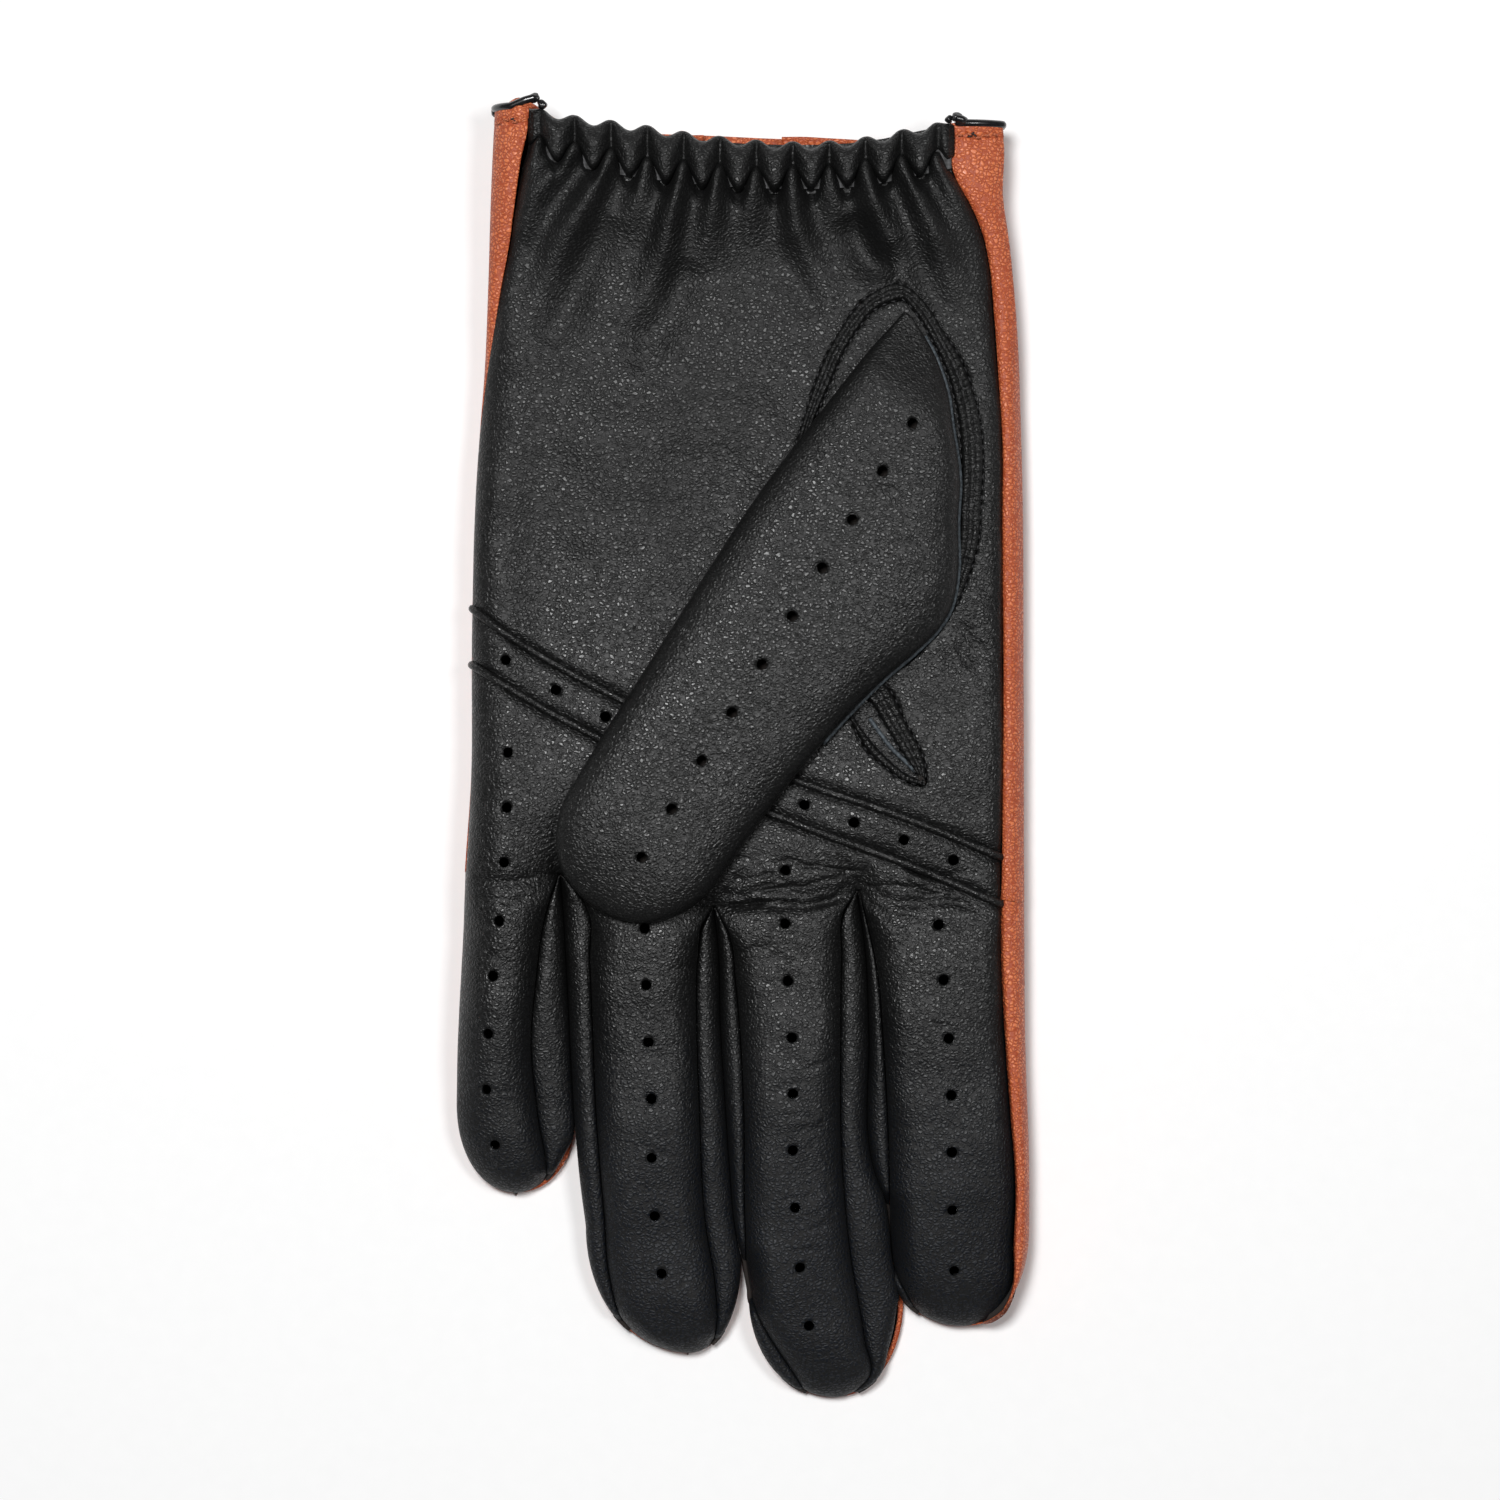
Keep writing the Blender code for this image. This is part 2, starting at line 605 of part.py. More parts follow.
def make_thumb():
    panel("thumb_front", 10, 14, thumb_front, "black_leather")
    panel("thumb_back", 3, 9, thumb_back, "black_leather")
    # The gusset joins the palm to the thumb's under panel across the little-finger side of the hole.
    half = tuple(h - SEAM for h in THUMB_HOLE_HALF)

    def gusset(u, v):
        return (mix(THUMB_HOLE[0] - half[0] - 1, GUSSET_EDGE, u), THUMB_HOLE[1] + mix(-half[1], half[1], v), PALM_TOP)

    made = panel("thumb_gusset", 1, 1, gusset, "black_leather")
    keep_within(made, prism("gusset_outline", oval(THUMB_HOLE, half), PALM_TOP - 4, PALM_TOP + 4))
    # The welt round the index side of the hole stands a little proud of the palm.
    route = []
    for i in range(15):
        angle = math.radians(mix(-52, 100, i / 14))
        x = THUMB_HOLE[0] + (THUMB_HOLE_HALF[0] + 1.6) * math.cos(angle)
        y = THUMB_HOLE[1] + (THUMB_HOLE_HALF[1] + 1.6) * math.sin(angle)
        route.append((x, y, PALM_TOP + WELT_RADIUS + 0.3 - edge_depth(on_line(HAND_RIGHT, y) - x, PALM_TOP / 2)))
    cord("thumb_hole_welt", route, WELT_RADIUS, "black_leather", sides=1)


# The strap and its press stud ---------------------------------------------------------------------


def make_strap():
    """The wrist strap under the keyhole's neck. Its point u 0 is the free end, at the stud."""

    def strap(u, v):
        x = mix(STRAP_END, STRAP_ROOT, u)
        taper = 1 - 0.35 * max(0.0, (x - STUD[0]) / (STRAP_END - STUD[0])) ** 2
        middle, half = (STRAP_LOW + STRAP_HIGH) / 2, (STRAP_HIGH - STRAP_LOW) / 2 * taper
        rise = (WRIST_LIFT - RIVET_GAP - LEATHER - STRAP_FOOT) * ease((STUD[0] - 8 - x) / 20)
        return (x, mix(middle - half, middle + half, v), STRAP_FOOT + rise)

    panel("wrist_strap", 12, 2, strap, "tan_leather")
    level = STRAP_FOOT - RIVET_GAP
    turned("stud_cap", STUD, [(0, level), (CAP_RADIUS, level), (CAP_RADIUS, 0.35), (CAP_RADIUS - 0.6, 0), (0, 0)],
           "stud_metal", steps=20)
    low, high = STRAP_FOOT + LEATHER + RIVET_GAP, WRIST_LIFT - 2 * RIVET_GAP - 0.3
    hole = NUB_RADIUS + 0.3
    turned("stud_socket", STUD, [(hole, high), (SOCKET_RADIUS, high), (SOCKET_RADIUS, low), (hole, low), (hole, high)],
           "stud_metal")
    flange = WRIST_LIFT - RIVET_GAP
    inner = WRIST_LIFT + LEATHER + RIVET_GAP
    turned("stud_nub", STUD, [(0, inner), (SHANK_RADIUS, inner), (SHANK_RADIUS, flange), (SOCKET_RADIUS - 0.4, flange),
                              (SOCKET_RADIUS - 0.4, flange - 0.3), (NUB_RADIUS, flange - 0.3), (NUB_RADIUS, low + 0.3),
                              (0, low + 0.3)], "stud_metal")
    turned("stud_post", STUD, [(0, inner + 0.9), (SOCKET_RADIUS - 0.6, inner + 0.9), (SOCKET_RADIUS, inner + RIVET_GAP),
                               (0, inner + RIVET_GAP)], "stud_metal")


# The joints ---------------------------------------------------------------------------------------


def hang(names, hinge_name, place, turn=0.0):
    """Parent pieces to an empty on their joint's axis, so that turning the empty moves them."""
    hinge = bpy.data.objects.new(hinge_name, None)
    hinge.location = Vector(place) * MM
    hinge.rotation_euler = (0, 0, turn)
    glove.objects.link(hinge)
    at_rest = Matrix.Translation(hinge.location) @ Matrix.Rotation(turn, 4, "Z")
    for name in names:
        piece = bpy.data.objects[name]
        piece.parent = hinge
        piece.matrix_parent_inverse = at_rest.inverted()


def make_joints():
    for name, stall in STALLS.items():
        pieces = [piece.name for piece in glove.objects if piece.name.startswith(name + "_")]
        centre = (on_line(stall["left"], stall["root"]) + on_line(stall["right"], stall["root"])) / 2
        hang(pieces, name + "_knuckle", (centre, stall["root"], KNUCKLE_HINGE_Z))
    (x0, y0), (x1, y1) = THUMB_FOLD
    middle = ((x0 + x1) / 2, (y0 + y1) / 2, THUMB_FOLD_Z)
    hang(["thumb_front", "thumb_back"], "thumb_fold", middle, turn=math.atan2(x0 - x1, y1 - y0))
    hang(["wrist_strap", "stud_cap", "stud_socket"], "strap_root", STRAP_HINGE)


for leftover in list(bpy.data.objects):
    bpy.data.objects.remove(leftover)
glove = fresh_collection("driving_glove")
cutters = fresh_collection("cutters", hidden=True)
make_palm()
make_cuff()
make_back()
cord("cuff_piping", piping_route(), PIPING_RADIUS, "black_piping", sides=1)
make_stalls()
make_thumb()
make_strap()
make_joints()
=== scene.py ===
import json
import math

import bmesh
import bpy
import numpy as np
from mathutils import Matrix, Vector


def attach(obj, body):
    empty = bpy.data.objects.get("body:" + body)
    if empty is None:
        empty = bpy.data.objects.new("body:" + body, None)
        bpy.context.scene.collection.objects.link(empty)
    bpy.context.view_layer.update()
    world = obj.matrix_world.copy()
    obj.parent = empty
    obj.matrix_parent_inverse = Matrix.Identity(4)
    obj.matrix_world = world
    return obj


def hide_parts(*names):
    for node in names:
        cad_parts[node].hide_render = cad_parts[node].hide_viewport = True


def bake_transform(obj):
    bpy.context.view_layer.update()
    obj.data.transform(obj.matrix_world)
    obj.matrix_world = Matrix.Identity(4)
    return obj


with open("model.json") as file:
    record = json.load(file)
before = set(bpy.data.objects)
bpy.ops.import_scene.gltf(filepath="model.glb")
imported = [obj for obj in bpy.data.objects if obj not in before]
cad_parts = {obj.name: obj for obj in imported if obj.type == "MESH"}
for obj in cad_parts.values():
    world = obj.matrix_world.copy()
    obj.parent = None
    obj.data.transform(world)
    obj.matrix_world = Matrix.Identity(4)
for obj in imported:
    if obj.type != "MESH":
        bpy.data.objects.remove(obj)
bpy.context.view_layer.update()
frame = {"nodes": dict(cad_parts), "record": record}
print("frame loaded:", len(frame["nodes"]), "nodes")

# Lengths below are millimetres. +Y is the cuff, +X the index side, +Z out of the palm.
mm = 0.001

glove = {
    "wall": 0.9,  # leather
    "palmTop": 13.0,
    "cuffTop": 15.6,  # the gathered wrist stands higher
    "wristLift": 4.5,  # the back leaves the table here
    "edgeRound": 8.0,
    "indexSeam": (3.4, 2.1),  # width and drop of the palm's rounding where it meets the back
    "cell": 0.55,  # spacing of the meshes
}


# lines and sections

def lineThrough(points):
    places, heights = np.array(sorted(points), float).T
    slopes = np.gradient(heights, places)

    def height(at):
        at = np.clip(at, places[0], places[-1])
        i = np.clip(np.searchsorted(places, at, side="right") - 1, 0, len(places) - 2)
        step = places[i + 1] - places[i]
        t = (at - places[i]) / step
        ends = heights[i] * (1 + 2 * t) * (1 - t) ** 2 + heights[i + 1] * t * t * (3 - 2 * t)
        return ends + step * t * (1 - t) * (slopes[i] * (1 - t) - slopes[i + 1] * t)

    return height


def ease(t):
    t = np.clip(t, 0, 1)
    return t * t * (3 - 2 * t)


def mix(a, b, t):
    return a + (b - a) * t


def shoulder(inset, width, drop):  # a rounded edge: how far it has fallen, this far in from the seam
    share = 1 - np.clip(inset / width, 0, 1)
    return drop * (1 - np.sqrt(1 - share * share))


def bezier(p0, p1, p2, p3, steps=24):
    t = np.linspace(0, 1, steps)[:, None]
    s = 1 - t
    p0, p1, p2, p3 = (np.array(p, float) for p in (p0, p1, p2, p3))
    return s**3 * p0 + 3 * s * s * t * p1 + 3 * s * t * t * p2 + t**3 * p3


def evenly(line, count):  # the same line with its points at even spacing
    steps = np.linalg.norm(np.diff(line, axis=0), axis=1)
    along = np.concatenate([[0], np.cumsum(steps)])
    marks = np.linspace(0, along[-1], count)
    return np.column_stack([np.interp(marks, along, line[:, k]) for k in range(3)])


def throughPoints(points, count):  # a smooth line through the points, evenly stepped
    points = np.array(points, float)
    runs = np.linalg.norm(np.diff(points, axis=0), axis=1)
    along = np.concatenate([[0], np.cumsum(runs)])
    marks = np.linspace(0, along[-1], count)
    return np.column_stack([lineThrough(list(zip(along, column)))(marks) for column in points.T])


def noiseField(seed, scale, octaves=5):  # a smooth random field with bumps about this far apart
    random = np.random.default_rng(seed)
    waves = [(random.uniform(0, math.tau), random.uniform(0, math.tau), random.uniform(0.7, 1.5))
             for _ in range(octaves)]

    def field(x, y):
        total = 0
        for turn, phase, stretch in waves:
            along = x * math.cos(turn) + y * math.sin(turn)
            total = total + np.sin(along * stretch * math.tau / scale + phase)
        return total / octaves

    return field


# the outlines, seen from above, as (y, x)

handLeft = lineThrough([(-64, -51.8), (-55, -51.6), (-30, -50.4), (-4, -49.0), (20, -48.9), (46, -48.2),
                        (73, -46.3), (100, -45.2), (117, -44.3)])
handRight = lineThrough([(-85, 51.8), (-76, 51.8), (-53, 51.1), (-26, 50.9), (9, 50.8), (55, 50.4),
                         (73, 49.7), (91, 48.1), (100, 46.9), (108, 47.1), (114, 46.7)])
palmRight = lineThrough([(-103, 45.8), (-98, 48.1), (-88, 48.7), (-80, 49.0), (-63, 47.9), (-50, 47.0),
                         (-37, 46.4), (-15, 46.6), (15, 46.8), (40, 46.6), (56, 46.6), (67, 45.9), (77, 45.2),
                         (88, 44.1), (92, 43.2), (95, 42.1), (99, 40.1), (102, 38.4), (105, 37.3),
                         (108, 36.9),
                         (114, 36.9)])
leftInset = lineThrough([(56, 0), (66, 0.5), (75.6, 1.5), (83.5, 2.6), (89.3, 3.7), (97, 4.7), (103.7, 5.5),
                         (108, 6.3),
                         (116, 6.3)])

crotches = [(-32.9, -22.5), (-5.2, -28.3), (20.7, -25.4)]
rootLine = lineThrough([(-54, -22.0), *crotches, (52, -27.5)])
upperWelt = lineThrough([(-52, 28.0), (-44.3, 22.1), (-34.4, 15.8), (-21.4, 8.8), (9.5, -5.4), (29, -12.1),
                         (50, -20.8)])
lowerWelt = lineThrough([(-52, 17.2), (-44.3, 12.6), (-34.4, 6.7), (-25.2, 1.8), (4.9, -11.3), (16.6, -15.8),
                         (29, -20.3), (50, -29.3)])

gathers = {
    "pitch": 6.5,
    "first": -33.3,  # x of the first fold's valley
    "stitch": [(-39, 108.2), (-30, 106.0), (-20, 104.0), (-8, 102.0), (2, 101.4), (12, 101.7), (22, 102.6),
               (32, 104.2), (40, 106.0)],
    "zigzag": 2.0,
    "sag": (1.3, 13),  # the leather below the casing: how far it sinks, and over what length
    "rise": 1.75,
    "tuck": 3.4,
    "edge": [(-39, 115.2), (-31, 113.2), (-24, 112.2), (-17, 111.2), (-10, 110.1), (-4, 109.3), (3, 108.6),
             (10, 108.3), (17, 108.6), (24, 109.5), (31, 111.0), (37, 112.3), (40, 112.8)],
    "scallop": 0.75,
}
stitchLine, cuffEdge = lineThrough(gathers["stitch"]), lineThrough(gathers["edge"])


def gatherPhase(x):
    return (x - gathers["first"]) / gathers["pitch"] * math.tau


def zigzag(x):
    inside = ease((x + 38.5) / 3) * ease((38 - x) / 3)
    return stitchLine(x) - gathers["zigzag"] * np.cos(gatherPhase(x)) * inside


def frontLevel(y):
    return mix(glove["palmTop"], glove["cuffTop"], ease((y - 84) / 16))


def backLevel(y):
    return glove["wristLift"] * ease((y - 62) / 22)


crotchPocket = {"reach": 5.0, "drop": 3.2, "sink": 1.9, "spread": 6.5, "length": 0.75}


def crotchDip(x, y):
    dip, pocket = 0, crotchPocket
    for cx, cy in crotches:
        away = np.hypot(x - cx, (y - cy) * pocket["length"])
        sink = pocket["sink"] * np.exp(-((away / pocket["spread"]) ** 2))
        dip = np.maximum(dip, shoulder(away, pocket["reach"], pocket["drop"]) + sink)
    return dip


# creases and folds of the palm side, as lines of points pressed in (or raised, where depth is below 0)

def stroke(x, y, points, width, depth):
    points = np.array(points, float)
    reach = 3 * width
    low, high = points.min(0) - reach, points.max(0) + reach
    near = (x > low[0]) & (x < high[0]) & (y > low[1]) & (y < high[1])
    lift = np.zeros_like(x)
    if not near.any():
        return lift
    best, along = nearestAlong(x[near], y[near], points)
    taper = np.clip(5 * along * (1 - along), 0, 1) ** 0.8
    lift[near] = -depth * np.exp(-(best / width) ** 2) * taper
    return lift


def wrinkles(seed, count, centre, spread, length, turn, scatter=12, width=0.45, depth=0.22):
    # a family of short fine creases that lie roughly one way; turn is degrees from +X
    random = np.random.default_rng(seed)
    made = []
    for _ in range(count):
        x, y = (c + random.uniform(-s, s) for c, s in zip(centre, spread))
        heading = math.radians(turn + random.normal(0, scatter))
        half = length * random.uniform(0.3, 0.6)
        points = []
        for t in (-1, -0.35, 0.35, 1):
            bend = random.normal(0, 0.05 * length)
            points.append((x + t * half * math.cos(heading) - bend * math.sin(heading),
                           y + t * half * math.sin(heading) + bend * math.cos(heading)))
        made.append((points, width * random.uniform(0.7, 1.3), depth * random.uniform(0.5, 1.2)))
    return made


palmCreases = [
    ([(-5.0, -28.6), (3, -27.6), (12, -27.9), (20.5, -25.8)], 0.8, 1.5),  # root of the middle stall
    ([(-4.0, -26.6), (4, -25.4), (13, -25.6), (19.5, -24.6)], 1.3, 0.7),
    ([(21.4, -25.6), (28, -27.2), (38, -27.4), (46, -29.8)], 0.6, 0.6),  # root of the index stall
    ([(21.6, -26.4), (27, -29.6), (33, -31.5)], 0.5, 0.4),
    ([(21.4, -24.6), (27, -24.2), (34, -25.6), (40, -28.0)], 0.6, 0.4),
    ([(-5.6, -28.0), (-9, -25.6), (-13, -24.8)], 0.6, 0.6),
    ([(-4.6, -28.2), (-1.5, -24.0), (1.0, -21.0)], 0.8, 0.5),
    ([(20.4, -24.8), (18.6, -21.5), (17.8, -18.5)], 0.8, 0.5),
    ([(21.0, -24.8), (22.6, -21.5), (23.4, -19.0)], 0.8, 0.45),
    ([(-49, -23.0), (-42, -23.8), (-35, -22.6)], 0.7, 0.5),  # root of the little stall
    ([(-48, -26.0), (-42, -27.2), (-36, -26.0)], 0.5, 0.35),
    ([(38.9, 23.0), (41, 19.5), (44, 17.8)], 0.7, 0.5),  # under the thumb's corner
    ([(38.0, 20.0), (40.5, 15.5), (43, 14.2)], 0.7, 0.45),
    ([(36.0, 18.0), (38.5, 12.0)], 0.7, 0.35),
    *wrinkles(3, 16, (8, -25), (10, 5), 9, 4, depth=0.42),
    *wrinkles(4, 14, (32, -27), (9, 5), 8, -14, depth=0.38),
    *wrinkles(5, 16, (8, -47), (8, 16), 8, -8, depth=0.2),
    *wrinkles(6, 18, (13, -70), (5, 26), 7, 12, depth=0.22),
    *wrinkles(7, 12, (-13, -60), (8, 26), 8, -4, depth=0.16),
    *wrinkles(8, 10, (34, -58), (8, 26), 8, -24, depth=0.14),
    *wrinkles(9, 12, (-43, -42), (5, 22), 6, 6, depth=0.16),
    *wrinkles(10, 22, (41.5, 45), (3, 32), 5, -28, depth=0.2),
    *wrinkles(11, 16, (36, 2), (8, 14), 7, 60, depth=0.14),
    *wrinkles(12, 14, (-42, 0), (5, 20), 7, 10, depth=0.14),
    *wrinkles(13, 20, (-10, 62), (26, 22), 9, -10, depth=0.12),
]
# the folds that run down from the gathers, each from its tip between two puffs of the casing
gatherRidges = [
    ([(-36.6, 109.8), (-38.0, 104), (-39.5, 97)], 1.5, 1.6),
    ([(-29.7, 107.9), (-33.5, 103.5), (-37.3, 98.5), (-39.6, 90)], 1.9, 2.3),
    ([(-23.6, 106.3), (-27.4, 99), (-31.0, 92.5), (-35.8, 81)], 2.1, 2.7),
    ([(-17.2, 105.2), (-18.6, 98), (-20.3, 90)], 1.9, 1.9),
    ([(-10.8, 104.6), (-13.0, 95), (-15.2, 86), (-19.0, 75)], 2.0, 2.6),
    ([(-4.7, 103.8), (-5.6, 95), (-7.0, 85)], 1.8, 2.3),
    ([(1.9, 103.4), (1.4, 97), (0.8, 90)], 1.9, 1.7),
    ([(8.5, 103.6), (10.0, 92), (13.0, 83), (16.2, 77)], 2.0, 2.5),
    ([(15.1, 103.9), (16.2, 98), (17.6, 92)], 1.8, 1.8),
    ([(21.6, 104.2), (23.6, 97), (27.0, 90), (33.0, 83.5)], 2.1, 2.7),
    ([(27.9, 105.1), (31.6, 98), (36.0, 88), (40.0, 77)], 1.9, 2.4),
    ([(34.0, 105.9), (38.0, 99), (41.6, 91)], 1.5, 1.9),
]
gatherFolds = [  # wide valleys lower down
    ([(-33.0, 101), (-37.0, 90), (-41.5, 76)], 1.8, 0.6),
    ([(-24.0, 96), (-29.0, 86), (-34.5, 72)], 2.6, 1.2),
    ([(-10.0, 88), (-14.0, 78), (-20, 68)], 2.6, 0.9),
    ([(8.5, 92), (10.5, 85), (13.5, 78)], 1.8, 0.7),
    ([(19.0, 96), (22.5, 88.5), (27.0, 84.4)], 2.2, 1.5),
    ([(28.5, 92), (33.0, 84), (38.5, 74)], 2.0, 0.7),
]
broad, middling = noiseField(1, 34), noiseField(2, 11)


def nearestAlong(x, y, points):  # distance from a line of points, and how far along it that is, from 0 to 1
    runs = np.linalg.norm(np.diff(points, axis=0), axis=1)
    starts, total = np.concatenate([[0], np.cumsum(runs)]), runs.sum()
    best, along = np.full(x.shape, 1e9), np.zeros_like(x)
    for a, b, start, run in zip(points, points[1:], starts, runs):
        t = np.clip(((x - a[0]) * (b[0] - a[0]) + (y - a[1]) * (b[1] - a[1])) / run**2, 0, 1)
        away = np.hypot(x - mix(a[0], b[0], t), y - mix(a[1], b[1], t))
        along = np.where(away < best, (start + t * run) / total, along)
        best = np.minimum(best, away)
    return best, along


def gatherRelief(x, y):
    below = np.clip(stitchLine(x) - y, -4, None)
    sag, length = gathers["sag"]
    lift = -sag * np.exp(-((below / length) ** 2))
    for points, width, height in gatherRidges:
        tip = np.array(points[0]) + 0.5 * (np.array(points[0]) - np.array(points[1]))
        away, along = nearestAlong(x, y, throughPoints([tip, *points], 9))
        rise = gathers["rise"] * height * (1 - ease(along)) ** 0.6
        lift = lift + rise * np.exp(-((away / (width * (0.80 + 1.1 * along))) ** 2))
    low = 0.5 + 0.5 * np.cos(gatherPhase(x))
    rolled = gathers["tuck"] * ease((y - zigzag(x) + 0.2) / 1.5)  # it rolls in under the casing
    return lift - 1.9 * low * np.exp(-((zigzag(x) - y) / 1.8) ** 2) - rolled


def palmRelief(x, y):
    hollow = np.exp(-(((y - 32) / 30) ** 2)) * ease((22 - x) / 24) * ease((x + 50) / 16)
    lift = 0.95 * broad(x, y) + 0.24 * middling(x, y) - 2.4 * hollow
    for points, width, depth in palmCreases:
        lift = lift + stroke(x, y, points, width, depth)
    if y.max() > 60:
        high = ease((y - 58) / 14)
        lift = lift + high * gatherRelief(x, y)
        for points, width, depth in gatherFolds:
            lift = lift + stroke(x, y, points, 1.5 * width, 1.5 * depth)
    for welt in (upperWelt, lowerWelt):  # the leather dips beside each welt
        lift = lift - 0.9 * np.exp(-((y - welt(x)) / 1.3) ** 2)
    return lift


# finishes

class Wire:  # a socket that takes part in plain arithmetic
    def __init__(self, recipe, socket):
        self.recipe, self.socket = recipe, socket

    def join(self, operation, *others):
        return self.recipe.node("Math", dict(enumerate((self, *others))), operation=operation)

    def __add__(self, other):
        return self.join("ADD", other)

    def __rsub__(self, other):
        return self.recipe.node("Math", {0: other, 1: self}, operation="SUBTRACT")

    def __mul__(self, other):
        return self.join("MULTIPLY", other)

    __radd__, __rmul__ = __add__, __mul__

    def between(self, low, high, start=0.0, end=1.0):
        return self.recipe.node("MapRange", {0: self, 1: low, 2: high, 3: start, 4: end}, clamp=True,
                                interpolation_type="SMOOTHSTEP")


class Recipe:
    def __init__(self, name):
        self.material = bpy.data.materials.new(name)
        self.material.use_nodes = True
        self.tree = self.material.node_tree
        self.shader = self.tree.nodes["Principled BSDF"]
        self.place = self.node("TexCoord", output="Object")

    def node(self, kind, values=None, output=0, **settings):
        made = self.tree.nodes.new("ShaderNode" + kind)
        for name, value in settings.items():
            setattr(made, name, value)
        for key, value in (values or {}).items():
            self.feed(made.inputs[key], value)
        return Wire(self, made.outputs[output])

    def feed(self, socket, value):
        if isinstance(value, Wire):
            self.tree.links.new(value.socket, socket)
        else:
            socket.default_value = value

    def scaled(self, x, y, z, turn=(0, 0, 0)):  # object coordinates times a number of cells per metre
        return self.node("Mapping", {"Vector": self.place, "Scale": (x, y, z), "Rotation": turn})

    def noise(self, vector, scale, detail=2.0, output=0):
        return self.node("TexNoise", {"Vector": vector, "Scale": scale, "Detail": detail}, output=output)

    def blend(self, factor, a, b):
        return self.node("Mix", {0: factor, 6: a, 7: b}, output=2, data_type="RGBA")

    def finish(self, **sockets):
        for name, value in sockets.items():
            self.feed(self.shader.inputs[name.replace("_", " ")], value)
        return self.material


def grainHeight(recipe, cells, seed):  # pebbled grain: small uneven cells parted by fine furrows
    place = recipe.scaled(cells, cells * 1.25, cells, turn=(0, 0, seed))
    drift = recipe.noise(place, 0.55, output=1)
    warp = recipe.node("VectorMath", {0: drift, 1: (1.5, 1.5, 1.5)}, operation="MULTIPLY")
    bent = recipe.node("VectorMath", {0: place, 1: warp}, operation="ADD")
    small, large = ({"Vector": bent, "Scale": scale} for scale in (1.0, 0.37))
    furrow = recipe.node("TexVoronoi", small, feature="DISTANCE_TO_EDGE").between(0.0, 0.32)
    wide = recipe.node("TexVoronoi", large, feature="DISTANCE_TO_EDGE").between(0.0, 0.16)
    fine = recipe.noise(bent, 3.2, 3.0)
    return furrow * 0.70 + wide * 0.22 + fine * 0.14


def blackLeather():
    # the last colour is painted shade for the fingertips, darker and bluish
    look = {"furrow": (0.0003, 0.0003, 0.0004, 1), "dyed": (0.0040, 0.0042, 0.0041, 1),
            "worn": (0.0080, 0.0082, 0.0080, 1), "paintedTipShade": (0.0004, 0.0022, 0.0062, 1)}
    made = Recipe("blackLeather")
    grain = grainHeight(made, 1250.0, 0.5)
    patches = made.noise(made.place, 60.0, 3.0).between(0.3, 0.7)
    lengthwise = made.node("SeparateXYZ", {0: made.place}, output=1)
    down, up = lengthwise.between(-0.035, -0.092), lengthwise.between(0.005, 0.085)  # rougher at both ends; towards the fingertips also painted shade, darker and bluish
    # towards the fingertips the colour blends into painted shade
    colour = made.blend(down * 0.9, made.blend(patches, look["dyed"], look["worn"]), look["paintedTipShade"])
    colour = made.blend(grain.between(0.15, 0.8), look["furrow"], colour)
    bump = made.node("Bump", {"Strength": 1.0, "Distance": 0.00011, "Height": grain})
    made.shader.inputs["Specular IOR Level"].default_value = 0.4
    rough = grain.between(0.2, 0.9, 0.50, 0.29) + patches * 0.04 + down * 0.20 + up * 0.09
    return made.finish(Base_Color=colour, Roughness=rough, Normal=bump)


def tanLeather():
    look = {"deep": (0.36, 0.062, 0.018, 1), "body": (0.56, 0.130, 0.042, 1), "worn": (0.68, 0.190, 0.072, 1)}
    made = Recipe("tanLeather")
    grain = grainHeight(made, 1250.0, 1.9)
    patches = made.noise(made.place, 90.0, 4.0).between(0.3, 0.75)
    colour = made.blend(patches, look["body"], look["worn"])
    colour = made.blend(grain.between(0.25, 0.8), look["deep"], colour)
    bump = made.node("Bump", {"Strength": 1.0, "Distance": 0.00016, "Height": grain})
    return made.finish(Base_Color=colour, Roughness=grain.between(0.3, 1.0, 0.55, 0.38), Normal=bump)


def pipingLeather():
    made = Recipe("pipingLeather")
    streaks = made.noise(made.scaled(400, 400, 400), 1.0, 4.0)
    colour = made.blend(streaks.between(0.4, 0.8), (0.004, 0.004, 0.005, 1), (0.014, 0.014, 0.015, 1))
    bump = made.node("Bump", {"Strength": 0.6, "Distance": 0.00006, "Height": streaks})
    made.shader.inputs["Coat Weight"].default_value = 0.35
    return made.finish(Base_Color=colour, Roughness=streaks.between(0.3, 0.8, 0.24, 0.4), Normal=bump)


def thread(name, dark, light):
    made = Recipe(name)
    ply = made.node("TexWave", {"Vector": made.scaled(900, 900, 900, turn=(0.4, 0.3, 0.8)), "Scale": 1.0,
                                "Distortion": 1.5}, output=1)
    colour = made.blend(ply, dark, light)
    bump = made.node("Bump", {"Strength": 0.7, "Distance": 0.00006, "Height": ply})
    return made.finish(Base_Color=colour, Roughness=ply.between(0.0, 1.0, 0.62, 0.5), Normal=bump)


def shadedFleshSide():  # the napped inner face of the leather, its near-black colour partly painted shade for the dark inside of the glove
    made = Recipe("shadedFleshSide")
    nap = made.noise(made.scaled(2200, 2200, 2200), 1.0, 4.0)
    patches = made.noise(made.place, 160.0, 3.0)
    # dark browns: the napped face's own tone, and painted shade for the inside of the glove
    colour = made.blend(nap * 0.6 + patches * 0.4, (0.006, 0.005, 0.005, 1), (0.030, 0.022, 0.018, 1))
    bump = made.node("Bump", {"Strength": 0.8, "Distance": 0.00012, "Height": nap})
    return made.finish(Base_Color=colour, Roughness=0.95 - patches * 0.1, Normal=bump)


